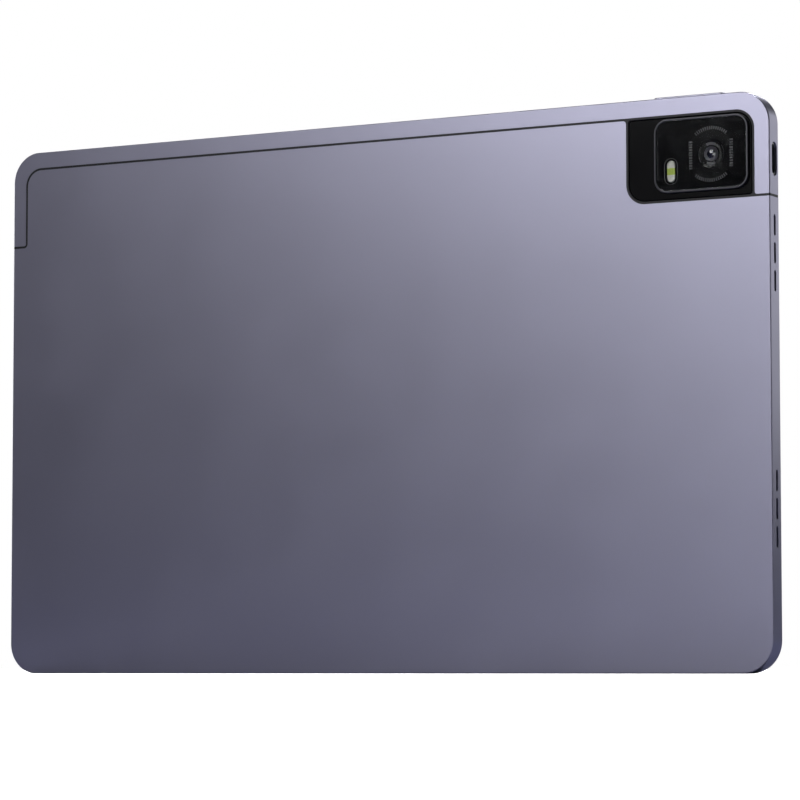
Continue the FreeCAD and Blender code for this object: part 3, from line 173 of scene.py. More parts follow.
def rounded_loop(corners, steps=16):
    """A closed outline round corners (x, y, radius), anticlockwise, with an arc of steps at each.

    At a corner the arc's centre lies on the bisector; its points are centre + radius times the unit
    vector at angles evenly spaced from the entry tangent point to the exit one.
    """
    points = np.array([corner[:2] for corner in corners], float)
    radii = np.array([corner[2] for corner in corners], float)
    before = points - np.roll(points, 1, axis=0)
    after = np.roll(points, -1, axis=0) - points
    before /= np.linalg.norm(before, axis=1)[:, None]
    after /= np.linalg.norm(after, axis=1)[:, None]
    turn = before[:, 0] * after[:, 1] - before[:, 1] * after[:, 0]
    bend = np.arctan2(turn, (before * after).sum(1))
    reach = radii * np.tan(np.abs(bend) / 2)
    side = np.stack([-before[:, 1], before[:, 0]], 1) * np.sign(bend)[:, None]
    centres = points - before * reach[:, None] + side * radii[:, None]
    start = np.arctan2(-side[:, 1], -side[:, 0])
    share = np.linspace(0, 1, steps + 1)
    angles = start[:, None] + bend[:, None] * share[None, :]
    arcs = centres[:, None, :] + radii[:, None, None] * np.stack([np.cos(angles), np.sin(angles)], -1)
    kept = [arc if radius > 0 else arc[:1] for arc, radius in zip(arcs, radii)]
    return np.concatenate(kept)


def box_loop(box, inset, radius, steps=16):
    """A rounded rectangle (middle x, middle y, width, height) drawn inset inwards.

    Each corner's radius is the given one less the inset, never below nothing.
    """
    x, y, width, height = box
    half_x, half_y = width / 2 - inset, height / 2 - inset
    turn = min(max(radius - inset, 1e-6), half_x, half_y)
    signs = ((-1, -1), (1, -1), (1, 1), (-1, 1))
    return rounded_loop([(x + a * half_x, y + b * half_y, turn) for a, b in signs], steps)


def pill_loop(box, inset, steps=16):
    """A slot with round ends: a rounded rectangle whose corner radius is half its short side."""
    return box_loop(box, inset, min(box[2], box[3]) / 2 - 1e-7, steps)


def new_piece(name, points, faces):
    """A mesh object at the origin from points and faces, its normals turned outwards."""
    mesh = bpy.data.meshes.new(name)
    mesh.from_pydata(points.reshape(-1, 3).tolist(), [], faces)
    shape = bmesh.new()
    shape.from_mesh(mesh)
    bmesh.ops.remove_doubles(shape, verts=shape.verts, dist=1e-8)
    bmesh.ops.recalc_face_normals(shape, faces=shape.faces)
    shape.to_mesh(mesh)
    shape.free()
    piece = bpy.data.objects.new(name, mesh)
    bpy.context.scene.collection.objects.link(piece)
    return piece


def grid_faces(rows, columns, close_rows):
    """Quads of a grid whose columns run round a closed loop; rows close too where close_rows is true."""
    row = np.arange(rows if close_rows else rows - 1)[:, None]
    column = np.arange(columns)[None, :]
    below, right = (row + 1) % rows, (column + 1) % columns
    quads = np.stack([row * columns + column, row * columns + right,
                      below * columns + right, below * columns + column], -1)
    return quads.reshape(-1, 4).tolist()


def rounded_edge(width, depth, steps=6):
    """Quarter of an ellipse from the side to the face, as (inset, distance behind the face).

    At angles evenly spaced from 0 to 90 degrees the inset is width times (1 - cos) and the
    distance is depth times (1 - sin).
    """
    angles = np.radians(np.linspace(0, 90, steps))
    return [(width * (1 - math.cos(a)), depth * (1 - math.sin(a))) for a in angles]


def carried(name, loop_at, stations, plane="XZ", ring=False):
    """A profile carried round an outline: each station is the outline drawn inset inwards at depth out.

    Without ring the first and last outlines are filled, which closes the solid; with ring the
    profile closes on itself.
    """
    points = np.stack([spread(plane, *loop_at(inset).T, out) for inset, out in stations])
    count = points.shape[1]
    faces = grid_faces(len(stations), count, ring)
    if not ring:
        faces.append(list(range(count)))
        faces.append(list(range(points.size // 3 - count, points.size // 3)))
    return new_piece(name, points, faces)


def lathed(name, centre, profile, steps=96):
    """A profile of (radius, depth) turned about the Y axis through centre (x, z).

    A point is centre + radius times (cos, sin) of an angle evenly spaced round the turn; a zero
    radius closes a pole.
    """
    angle = np.linspace(0, TURN, steps, endpoint=False)
    radii = np.array([max(radius, 1e-7) for radius, depth in profile])[:, None]
    depth = np.array([depth for radius, depth in profile])[:, None]
    across = centre[0] + radii * np.cos(angle)
    up = centre[1] + radii * np.sin(angle)
    points = spread("XZ", across, up, depth)
    faces = grid_faces(len(profile), steps, False)
    faces.append(list(range(steps)))
    faces.append(list(range((len(profile) - 1) * steps, len(profile) * steps)))
    return new_piece(name, points, faces)


def prism(name, loop, low, high, plane="XZ"):
    """An outline pushed straight from low to high."""
    return carried(name, lambda inset: loop, [(0, low), (0, high)], plane)


def combine(piece, other, operation):
    """Cut, join or intersect piece with other, and drop other."""
    change = piece.modifiers.new(operation.title(), "BOOLEAN")
    change.operation = operation
    change.solver = "EXACT"
    change.object = other
    settle(piece)
    bpy.data.objects.remove(other)


def cut(piece, other):
    combine(piece, other, "DIFFERENCE")


def settle(piece):
    """Apply the piece's modifiers."""
    bpy.context.view_layer.update()
    evaluated = piece.evaluated_get(bpy.context.evaluated_depsgraph_get())
    mesh = bpy.data.meshes.new_from_object(evaluated)
    piece.modifiers.clear()
    piece.data = mesh


def soften(piece, width):
    """Round the piece's edges by width, and shade it smooth with its flat faces kept flat."""
    sharp = math.radians(SHARP_ANGLE)
    if width > 0:
        rounding = piece.modifiers.new("Rounding", "BEVEL")
        rounding.width = width
        rounding.segments = 2
        rounding.limit_method = "ANGLE"
        rounding.angle_limit = sharp
        rounding.use_clamp_overlap = True
        settle(piece)
    piece.data.shade_smooth()
    piece.data.set_sharp_from_angle(angle=sharp)
    weighting = piece.modifiers.new("Flat faces", "WEIGHTED_NORMAL")
    weighting.keep_sharp = True


def finish_piece(piece, material, slot, *replaces, body=BODY, soft=0):
    """Soften a piece, give it its finish and its body, and hide the nodes that it stands for."""
    soften(piece, soft)
    piece.data.materials.clear()
    piece.data.materials.append(material)
    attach(piece, body)
    if replaces:
        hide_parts(*replaces)


# ---- finishes

def new_group(name, inputs, outputs):
    """An empty node group with named float inputs and outputs."""
    group = bpy.data.node_groups.new(name, "ShaderNodeTree")
    for label, value in inputs:
        socket = group.interface.new_socket(label, in_out="INPUT", socket_type="NodeSocketFloat")
        socket.default_value = value
    for label in outputs:
        group.interface.new_socket(label, in_out="OUTPUT", socket_type="NodeSocketFloat")
    return group, group.nodes.new("NodeGroupInput"), group.nodes.new("NodeGroupOutput")


def math_node(tree, operation, first, second=0.0):
    """A math node fed by sockets or numbers; its result socket."""
    node = tree.nodes.new("ShaderNodeMath")
    node.operation = operation
    for socket, value in zip(node.inputs, (first, second)):
        feed(tree, socket, value)
    return node.outputs[0]


def noise(tree, coordinates, scale, detail):
    """Noise at a scale that a socket gives; its height."""
    node = tree.nodes.new("ShaderNodeTexNoise")
    node.inputs["Detail"].default_value = detail
    tree.links.new(coordinates, node.inputs["Vector"])
    tree.links.new(scale, node.inputs["Scale"])
    return node.outputs["Fac"]


def object_point(tree):
    return tree.nodes.new("ShaderNodeTexCoord").outputs["Object"]


def object_parts(tree):
    """The X, Y and Z of the point on the object, as sockets."""
    parts = tree.nodes.new("ShaderNodeSeparateXYZ")
    tree.links.new(object_point(tree), parts.inputs[0])
    return parts.outputs


def grain_group():
    """Fine grain as a height and slow mottling as a tone, both about 0 to 1."""
    found = bpy.data.node_groups.get("Grain")
    if found:
        return found
    inputs = [("Fine scale", 5000.0), ("Slow scale", 25.0)]
    group, entry, leave = new_group("Grain", inputs, ["Height", "Tone"])
    place = object_point(group)
    fine = noise(group, place, entry.outputs["Fine scale"], 3.0)
    slow = noise(group, place, entry.outputs["Slow scale"], 3.0)
    fine_share = math_node(group, "MULTIPLY", fine, 0.45)
    slow_share = math_node(group, "MULTIPLY", slow, 0.55)
    mixed = math_node(group, "ADD", fine_share, slow_share)
    group.links.new(fine, leave.inputs["Height"])
    group.links.new(mixed, leave.inputs["Tone"])
    return group


def handling_group():
    """Roughness that drifts where hands touch: base plus smudge times slow noise about its middle."""
    found = bpy.data.node_groups.get("Handling")
    if found:
        return found
    inputs = [("Roughness", 0.4), ("Smudge", 0.08), ("Scale", 40.0)]
    group, entry, leave = new_group("Handling", inputs, ["Roughness"])
    place = object_point(group)
    drift = math_node(group, "SUBTRACT", noise(group, place, entry.outputs["Scale"], 4.0), 0.5)
    moved = math_node(group, "MULTIPLY", drift, entry.outputs["Smudge"])
    group.links.new(math_node(group, "ADD", entry.outputs["Roughness"], moved), leave.inputs["Roughness"])
    return group


def rings_group():
    """Fine turned rings: half a sine of the distance from an axis along Y, as a height."""
    found = bpy.data.node_groups.get("Turned rings")
    if found:
        return found
    inputs = [("X", 0.0), ("Z", 0.0), ("Pitch", 0.0002)]
    group, entry, leave = new_group("Turned rings", inputs, ["Height", "Radius"])
    place = object_parts(group)
    dx = math_node(group, "SUBTRACT", place["X"], entry.outputs["X"])
    dz = math_node(group, "SUBTRACT", place["Z"], entry.outputs["Z"])
    across, up = math_node(group, "MULTIPLY", dx, dx), math_node(group, "MULTIPLY", dz, dz)
    radius = math_node(group, "SQRT", math_node(group, "ADD", across, up))
    phase = math_node(group, "MULTIPLY", math_node(group, "DIVIDE", radius, entry.outputs["Pitch"]), TURN)
    wave = math_node(group, "MULTIPLY", math_node(group, "SINE", phase), 0.5)
    group.links.new(wave, leave.inputs["Height"])
    group.links.new(radius, leave.inputs["Radius"])
    return group


def set_inputs(node, values):
    for label, value in values.items():
        node.inputs[label].default_value = value


def place_group(tree, group, values):
    """A group node with its inputs set to numbers."""
    node = tree.nodes.new("ShaderNodeGroup")
    node.node_tree = group
    set_inputs(node, values)
    return node


def new_material(name):
    material = bpy.data.materials.get(name) or bpy.data.materials.new(name)
    material.use_nodes = True
    return material, material.node_tree, material.node_tree.nodes["Principled BSDF"]


def feed(tree, socket, value):
    """Set an input to a number or a colour, or link another node's output to it."""
    if isinstance(value, bpy.types.NodeSocket):
        tree.links.new(value, socket)
    else:
        socket.default_value = value


def colour_mix(tree, share, first, second):
    """First colour where share is 0 and second where it is 1; its result socket."""
    mix = tree.nodes.new("ShaderNodeMix")
    mix.data_type = "RGBA"
    for place, value in ((0, share), (6, first), (7, second)):
        feed(tree, mix.inputs[place], value)
    return mix.outputs[2]


def tone_mix(tree, colour, tone, swing):
    """Colour between (1 - swing) and (1 + swing) of itself, by tone."""
    dark = (*[part * (1 - swing) for part in colour], 1)
    light = (*[min(part * (1 + swing), 1) for part in colour], 1)
    return colour_mix(tree, tone, dark, light)


def handled(tree, shader, roughness, smudge, scale=40.0):
    """Give the shader a roughness that drifts where hands touch."""
    values = {"Roughness": roughness, "Smudge": smudge, "Scale": scale}
    touch = place_group(tree, handling_group(), values)
    tree.links.new(touch.outputs["Roughness"], shader.inputs["Roughness"])


def raised(tree, shader, height, distance):
    """Feed a height through a bump into the shader's normal."""
    bump = tree.nodes.new("ShaderNodeBump")
    bump.inputs["Distance"].default_value = distance
    tree.links.new(height, bump.inputs["Height"])
    tree.links.new(bump.outputs["Normal"], shader.inputs["Normal"])


def mottled(tree, shader, colour, tone, swing):
    """Feed the shader a colour that varies with tone."""
    tree.links.new(tone_mix(tree, colour, tone, swing), shader.inputs["Base Color"])


def grained(name, colour, roughness, metallic=0.0, grain=5000.0,
            depth=0.01 * MM, smudge=0.08, swing=0.08):
    """A finish with grain in its height, mottling in its colour and handling in its roughness."""
    material, tree, shader = new_material(name)
    if tree.nodes.get("Grain"):
        return material
    marks = place_group(tree, grain_group(), {"Fine scale": grain})
    marks.name = "Grain"
    mottled(tree, shader, colour, marks.outputs["Tone"], swing)
    handled(tree, shader, roughness, smudge)
    raised(tree, shader, marks.outputs["Height"], depth)
    shader.inputs["Metallic"].default_value = metallic
    return material


def finishes():
    return bpy.context.scene.tablet_finishes


def anodised():
    colour = tuple(finishes().metal)
    return grained("Anodised metal", colour, METAL_ROUGHNESS, METAL_SHARE, smudge=0.05, swing=0.05)


def painted_cover():
    colour = tuple(finishes().cover)
    return grained("Painted cover", colour, COVER_ROUGHNESS, METAL_SHARE, smudge=0.05, swing=0.04)


def seam_plastic():
    return grained("Seam plastic", tuple(finishes().seam), SEAM_ROUGHNESS, grain=9000.0, swing=0.15)


def deck_black():
    colour = tuple(finishes().black)
    return grained("Island black", colour, 0.13, grain=9000.0, swing=0.2, depth=0.002 * MM)


def polished_edge():
    colour = (0.085, 0.085, 0.095)
    return grained("Polished edge", colour, 0.38, 1.0, grain=7000.0, depth=0.002 * MM, smudge=0.05)


# light grey for the printed marks, and also for the painted highlight arcs above and below the lens
def print_and_painted_highlights():
    colour = tuple(finishes().marks)
    return grained("Print and painted highlights", colour, 0.40, metallic=0.35, grain=12000.0, depth=0.001 * MM)


def smoked_glass():
    """Clear hard glass with a faint film of prints."""
    material, tree, shader = new_material("Camera glass")
    handled(tree, shader, 0.03, 0.03, 180.0)
    marks = place_group(tree, grain_group(), {"Fine scale": 900.0, "Slow scale": 90.0})
    mottled(tree, shader, (0.95, 0.955, 0.96), marks.outputs["Tone"], 0.04)
    set_inputs(shader, {"Transmission Weight": 1.0, "IOR": 1.5})
    return material


def turned_black():
    """Black trim with fine turned rings about the lens."""
    material, tree, shader = new_material("Turned black")
    x, z = lens_centre()
    rings = place_group(tree, rings_group(), {"X": x, "Z": z, "Pitch": 0.35 * MM})
    marks = place_group(tree, grain_group(), {"Fine scale": 9000.0})
    mottled(tree, shader, tuple(finishes().black), marks.outputs["Tone"], 0.2)
    handled(tree, shader, 0.14, 0.03)
    near = math_node(tree, "LESS_THAN", rings.outputs["Radius"], 6.9 * MM)
    raised(tree, shader, math_node(tree, "MULTIPLY", rings.outputs["Height"], near), 0.003 * MM)
    return material


def lens_glass():
    """Dark coated lens: bluish gloss over near black."""
    material, tree, shader = new_material("Lens glass")
    marks = place_group(tree, grain_group(), {"Fine scale": 1500.0, "Slow scale": 300.0})
    mottled(tree, shader, (0.012, 0.014, 0.05), marks.outputs["Tone"], 0.5)
    handled(tree, shader, 0.05, 0.02)
    set_inputs(shader, {"Coat Weight": 1.0, "Coat Roughness": 0.02})
    return material


def flash_diffuser():
    """Milky pill with a yellow-green block of phosphor behind its middle."""
    material, tree, shader = new_material("Flash diffuser")
    centre = middle(FLASH_LOW, FLASH_HIGH)
    place = object_parts(tree)
    height = math_node(tree, "SUBTRACT", place["Z"], centre.z)
    inside = math_node(tree, "LESS_THAN", math_node(tree, "ABSOLUTE", height), 0.95 * MM)
    marks = place_group(tree, grain_group(), {"Fine scale": 2500.0})
    milky = tone_mix(tree, (0.60, 0.60, 0.55), marks.outputs["Tone"], 0.12)
    tree.links.new(colour_mix(tree, inside, milky, (0.40, 0.50, 0.10, 1)), shader.inputs["Base Color"])
    handled(tree, shader, 0.36, 0.05)
    shader.inputs["Metallic"].default_value = 0.7
    return material


def screen_glass():
    """Switched-off screen: a black border round a slightly lighter picture area, under clear gloss."""
    material, tree, shader = new_material("Screen glass")
    place = object_parts(tree)
    panel_low, panel_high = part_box("lcd_panel")
    half = (panel_high - panel_low) / 2
    border = 2 * MM
    across = math_node(tree, "LESS_THAN", math_node(tree, "ABSOLUTE", place["X"]), half.x - border)
    height = math_node(tree, "SUBTRACT", place["Z"], MIDDLE_HEIGHT)
    upright = math_node(tree, "LESS_THAN", math_node(tree, "ABSOLUTE", height), half.z - border)
    inside = math_node(tree, "MULTIPLY", across, upright)
    eye = middle(*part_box("front_camera"))
    ring = place_group(tree, rings_group(), {"X": eye.x, "Z": eye.z, "Pitch": 1.2 * MM})
    iris = math_node(tree, "LESS_THAN", ring.outputs["Radius"], 1.5 * MM)
    wave = math_node(tree, "MULTIPLY", math_node(tree, "ABSOLUTE", ring.outputs["Height"]), iris)
    marks = place_group(tree, grain_group(), {"Fine scale": 1200.0})
    border_black = tone_mix(tree, (0.0035, 0.0035, 0.004), marks.outputs["Tone"], 0.2)
    picture = colour_mix(tree, inside, border_black, (0.011, 0.0115, 0.014, 1))
    glass = colour_mix(tree, wave, picture, (0.03, 0.035, 0.09, 1))
    tree.links.new(glass, shader.inputs["Base Color"])
    handled(tree, shader, 0.06, 0.05, 30.0)
    set_inputs(shader, {"Coat Weight": 0.5, "Coat Roughness": 0.03})
    return material


def woven_mesh():
    """Dust mesh: small round holes in dark wire."""
    material, tree, shader = new_material("Dust mesh")
    place = object_point(tree)
    cells = tree.nodes.new("ShaderNodeTexVoronoi")
    cells.inputs["Scale"].default_value = 4500.0
    tree.links.new(place, cells.inputs["Vector"])
    mottled(tree, shader, (0.008, 0.008, 0.01), cells.outputs["Distance"], 0.6)
    raised(tree, shader, cells.outputs["Distance"], 0.05 * MM)
    set_inputs(shader, {"Roughness": 0.5, "Metallic": 0.5})
    return material


INNER_FINISHES = {
    "deck_plastic": ((0.02, 0.02, 0.022), 0.5, 0.0),
    "polished_metal": ((0.6, 0.6, 0.63), 0.2, 1.0),
    "clear_glass": ((0.05, 0.055, 0.07), 0.08, 0.0),
    "flash_plastic": ((0.6, 0.62, 0.3), 0.4, 0.0),
    "panel": ((0.02, 0.02, 0.024), 0.25, 0.0),
    "steel": ((0.52, 0.52, 0.54), 0.36, 1.0),
    "circuit_board": ((0.015, 0.07, 0.05), 0.45, 0.0),
    "chip_plastic": ((0.025, 0.025, 0.028), 0.5, 0.0),
    "copper": ((0.75, 0.52, 0.25), 0.28, 1.0),
    "flex": ((0.16, 0.10, 0.04), 0.4, 0.0),
    "battery": ((0.05, 0.05, 0.055), 0.55, 0.0),
    "speaker_plastic": ((0.03, 0.03, 0.033), 0.55, 0.0),
    "housing_metal": (METAL_COLOUR, METAL_ROUGHNESS, METAL_SHARE),
    "cover_plastic": (METAL_COLOUR, COVER_ROUGHNESS, METAL_SHARE),
    "button_metal": (METAL_COLOUR, METAL_ROUGHNESS, METAL_SHARE),
    "seam_plastic": (SEAM_COLOUR, SEAM_ROUGHNESS, 0.0),
}


# ---- pieces

def tray_solid(name, sizes):
    """The whole shell as one closed solid: back face, rounded bevel, side band, and a hollow front."""
    bevel = sizes.bevel
    loop_at = lambda inset: box_loop(OUTLINE, inset, sizes.corner, OUTLINE_STEPS)
    stations = [(bevel * (1 - math.sin(a)), BACK + bevel * (1 - math.cos(a)))
                for a in np.radians(np.linspace(0, 90, 6))]
    stations += [(0, RIM), (sizes.wall, RIM), (sizes.wall, BACK + sizes.back_wall)]
    return carried(name, loop_at, stations)


def metal_loop(sizes, island):
    """The metal's edge: full width below the seam's feet, a tower above them, cut back for the island."""
    beyond = 2 * RIGHT
    tower, top = RIGHT - sizes.seam_side - SEAM_WIDTH / 2, HOUSING_HIGH.z
    left, low = DECK_LOW.x - SEAM_WIDTH, DECK_LOW.z - SEAM_WIDTH
    return rounded_loop([
        (-beyond, -beyond, 0), (beyond, -beyond, 0), (beyond, low, 0),
        (left, low, island.corner), (left, top, island.notch),
        (-tower, top, sizes.seam_corner - SEAM_WIDTH / 2),
        (-tower, low, sizes.seam_turn + SEAM_WIDTH / 2), (-beyond, low, 0),
    ], ARC_STEPS)


def cover_loop(sizes):
    """The antenna cover's inner edge: the same tower outside the seam."""
    beyond = 2 * RIGHT
    tower, top = RIGHT - sizes.seam_side + SEAM_WIDTH / 2, HOUSING_HIGH.z + SEAM_WIDTH
    foot, corner = COVER_LOW.z, sizes.seam_corner + SEAM_WIDTH / 2
    turn = sizes.seam_turn - SEAM_WIDTH / 2
    return rounded_loop([
        (-beyond, -beyond, 0), (beyond, -beyond, 0), (beyond, foot, 0), (tower, foot, turn),
        (tower, top, corner), (-tower, top, corner), (-tower, foot, turn), (-beyond, foot, 0),
    ], ARC_STEPS)


def deck_loop(sizes, island, inset):
    """The camera deck's outline, inset inwards."""
    big, small = island.corner - SEAM_WIDTH - inset, island.deck_corner - inset
    left, low = DECK_LOW.x + inset, DECK_LOW.z + inset
    right, top = DECK_HIGH.x - inset, DECK_HIGH.z - inset
    return rounded_loop([
        (left, low, big), (right, low, small),
        (right, top, sizes.seam_corner - SEAM_WIDTH / 2 - inset), (left, top, small),
    ], ARC_STEPS)


def deep_prism(name, loop):
    """A cutter that passes right through the shell."""
    return prism(name, loop, BACK - CUT_REACH, RIM + CUT_REACH)


def wall_cutter(box, wall, side, plane="YZ", flare=0.05 * MM):
    """A pill-shaped cutter through a side wall, flared outside so that the slot gets a small bevel."""
    stations = [(-2 * flare, wall + side * flare), (0, wall - side * flare), (0, wall - side * 3 * MM)]
    return carried("cutter", lambda inset: pill_loop(box, inset, 12), stations, plane)


def sound_slots(piece, sizes):
    """Cut both side walls' groups of three sound slots."""
    for side in (1, -1):
        for level in ("upper", "lower"):
            name = f"speaker_box_{'right' if side > 0 else 'left'}_{level}"
            centre = middle(*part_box(name)).z
            for step in (-1, 0, 1):
                height = centre + step * sizes.slot_pitch
                box = (sizes.slot_depth, height, sizes.slot_width, sizes.slot_length)
                cut(piece, wall_cutter(box, side * RIGHT, side))


class TABLET_OT_housing(bpy.types.Operator):
    """Build the metal back with its side walls and slots"""

    bl_idname = "tablet.housing"
    bl_label = "Housing"

    def execute(self, context):
        sizes, island = context.scene.tablet_shell, context.scene.tablet_island
        piece = tray_solid("shell_back", sizes)
        combine(piece, deep_prism("metal", metal_loop(sizes, island)), "INTERSECT")
        sound_slots(piece, sizes)
        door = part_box("card_tray")
        tall = door[1].z - door[0].z + 2 * sizes.gap
        box = (sizes.slot_depth, middle(*door).z, door[1].y - door[0].y + 2 * sizes.gap, tall)
        cut(piece, wall_cutter(box, -RIGHT, -1))
        hole = middle(*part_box("microphone"))
        cut(piece, wall_cutter((hole.y, hole.z, 1.0 * MM, 1.0 * MM), -RIGHT, -1))
        finish_piece(piece, anodised(), "housing_metal", "rear_housing", soft=sizes.softness)
        return {"FINISHED"}


class TABLET_OT_cover(bpy.types.Operator):
    """Build the antenna cover with the slots for the port, the rocker and the key"""

    bl_idname = "tablet.cover"
    bl_label = "Antenna cover"

    def execute(self, context):
        sizes = context.scene.tablet_shell
        piece = tray_solid("cover_strip", sizes)
        cut(piece, deep_prism("inner", cover_loop(sizes)))
        port = middle(PORT_LOW, PORT_HIGH)
        width, tall = PORT_HIGH.y - PORT_LOW.y + 0.24 * MM, PORT_HIGH.z - PORT_LOW.z + 0.5 * MM
        cut(piece, wall_cutter((port.y, port.z, width, tall), RIGHT, 1, flare=0.12 * MM))
        slot_width = sizes.button_width + 2 * sizes.gap
        key = middle(*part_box("power_key"))
        slot = (key.y, key.z, slot_width, sizes.key_length + 2 * sizes.gap)
        cut(piece, wall_cutter(slot, -RIGHT, -1))
        rocker = middle(*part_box("volume_rocker"))
        slot = (rocker.x, rocker.y, sizes.rocker_length + 2 * sizes.gap, slot_width)
        cut(piece, wall_cutter(slot, TOP, 1, plane="XY"))
        finish_piece(piece, painted_cover(), "cover_plastic", "antenna_cover", soft=sizes.softness)
        return {"FINISHED"}


class TABLET_OT_seam(bpy.types.Operator):
    """Build the dark seam and the camera island's rim"""

    bl_idname = "tablet.seam"
    bl_label = "Seam and rim"

    def execute(self, context):
        sizes, island = context.scene.tablet_shell, context.scene.tablet_island
        piece = tray_solid("seam_line", sizes)
        combine(piece, deep_prism("outer", cover_loop(sizes)), "INTERSECT")
        cut(piece, deep_prism("inner", metal_loop(sizes, island)))
        cut(piece, deep_prism("deck", deck_loop(sizes, island, 0)))
        finish_piece(piece, seam_plastic(), "seam_plastic", "seam_insert", soft=1.5 * sizes.softness)
        return {"FINISHED"}


def lens_centre():
    centre = middle(LENS_LOW, LENS_HIGH)
    return centre.x, centre.z


def flash_box(extra):
    centre = middle(FLASH_LOW, FLASH_HIGH)
    return (centre.x, centre.z, FLASH_HIGH.x - FLASH_LOW.x + extra, FLASH_HIGH.z - FLASH_LOW.z + extra)


def open_for_camera(piece):
    """Cut the lens hole and the flash hole."""
    x, z = lens_centre()
    radius = BARREL_HIGH.x - x + 0.15 * MM
    hole = lathed("hole", (x, z), [(radius, BACK - 2 * MM), (radius, BACK + 2 * MM)])
    cut(piece, hole)
    slot = pill_loop(flash_box(0.2 * MM), 0)
    cut(piece, prism("slot", slot, BACK - 2 * MM, BACK + 2 * MM))


class TABLET_OT_island(bpy.types.Operator):
    """Build the island's black deck, the raised window and the plate behind it"""

    bl_idname = "tablet.island"
    bl_label = "Camera island"

    def execute(self, context):
        sizes, island = context.scene.tablet_shell, context.scene.tablet_island
        edge, groove = 0.25 * MM, 0.12 * MM
        stations = [(groove, DECK_HIGH.y), (groove, DECK_LOW.y + edge), (groove + edge, DECK_LOW.y)]
        deck = carried("island_deck", lambda inset: deck_loop(sizes, island, inset), stations)
        open_for_camera(deck)
        finish_piece(deck, deck_black(), "deck_plastic", "camera_deck", soft=sizes.softness)

        centre = middle(WINDOW_LOW, WINDOW_HIGH)
        box = (centre.x, centre.z, WINDOW_HIGH.x - WINDOW_LOW.x, WINDOW_HIGH.z - WINDOW_LOW.z)
        loop_at = lambda inset: box_loop(box, inset, island.window_corner, ARC_STEPS)
        width, edge = island.frame_width, 0.18 * MM
        front, foot = WINDOW_LOW.y, WINDOW_HIGH.y
        outer = [(inset, front + back) for inset, back in rounded_edge(edge, edge)]
        inner = [(width - 0.12 * MM, front), (width, front + 0.1 * MM), (width, foot)]
        frame_piece = carried("window_frame", loop_at, [(0, foot)] + outer + inner, ring=True)
        finish_piece(frame_piece, polished_edge(), "polished_metal", "camera_window_frame")

        gap, edge, sunk = width + 0.03 * MM, 0.06 * MM, 0.02 * MM
        front_edge = [(gap + inset, PANE_LOW.y + back) for inset, back in rounded_edge(edge, edge, 4)]
        pane = carried("window_pane", loop_at, [(gap, PANE_HIGH.y)] + front_edge)
        finish_piece(pane, smoked_glass(), "clear_glass", "camera_window")

        trim = carried("trim_plate", loop_at, [(gap, TRIM_HIGH.y), (gap, TRIM_LOW.y + sunk)])
        open_for_camera(trim)
        finish_piece(trim, turned_black(), "deck_plastic", "camera_trim_plate")
        return {"FINISHED"}


def flat_blocks(name, across, up, low, high):
    """Separate blocks, each row's four corners pushed straight from low to high."""
    one = np.array([[0, 1, 2, 3], [7, 6, 5, 4], [0, 4, 5, 1], [1, 5, 6, 2], [2, 6, 7, 3], [3, 7, 4, 0]])
    faces = one[None] + 8 * np.arange(len(up))[:, None, None]
    sides = [spread("XZ", across, up, out) for out in (low, high)]
    return new_piece(name, np.concatenate(sides, axis=1), faces.reshape(-1, 4).tolist())


def curved_blocks(name, centre, radius, depth, angles, sweep, low, high):
    """Thin blocks on a circle: each spans sweep radians about its angle and depth about the radius."""
    spans = np.array([-0.5, 0.5, 0.5, -0.5]) * sweep
    reach = radius + np.array([-0.5, -0.5, 0.5, 0.5]) * depth
    turn = angles[:, None] + spans[None, :]
    across = centre[0] + reach * np.cos(turn)
    up = centre[1] + reach * np.sin(turn)
    return flat_blocks(name, across, up, low, high)


def arc_band(name, centre, radius, width, first, last, low, high, steps=24):
    """A band on part of a circle: a small rectangle carried along the arc, closed at both ends."""
    angle = np.linspace(first, last, steps)
    reach = radius + np.array([-0.5, 0.5, 0.5, -0.5]) * width
    out = np.array([low, low, high, high])
    across = centre[0] + reach[None, :] * np.cos(angle)[:, None]
    up = centre[1] + reach[None, :] * np.sin(angle)[:, None]
    points = spread("XZ", across, up, out)
    faces = grid_faces(steps, 4, False) + [list(range(4)), list(range(4 * steps - 4, 4 * steps))]
    return new_piece(name, points, faces)


# name, degrees round the lens, radius, width, half the angle that it spans
LENS_ARCS = (
    ("arc_left", 180, 3.8 * MM, 0.18 * MM, 36),
    ("arc_right", 0, 3.9 * MM, 0.22 * MM, 36),
    # the next two arcs are painted highlights: light grey bands where the lens housing shows glints
    ("painted_glint_above", 90, 3.0 * MM, 0.75 * MM, 27),
    ("painted_glint_below", 270, 2.75 * MM, 0.65 * MM, 27),
)
TICK_REACH = 38
BAR_REACH, BAR_HEIGHT = 3.75 * MM, 0.42 * MM


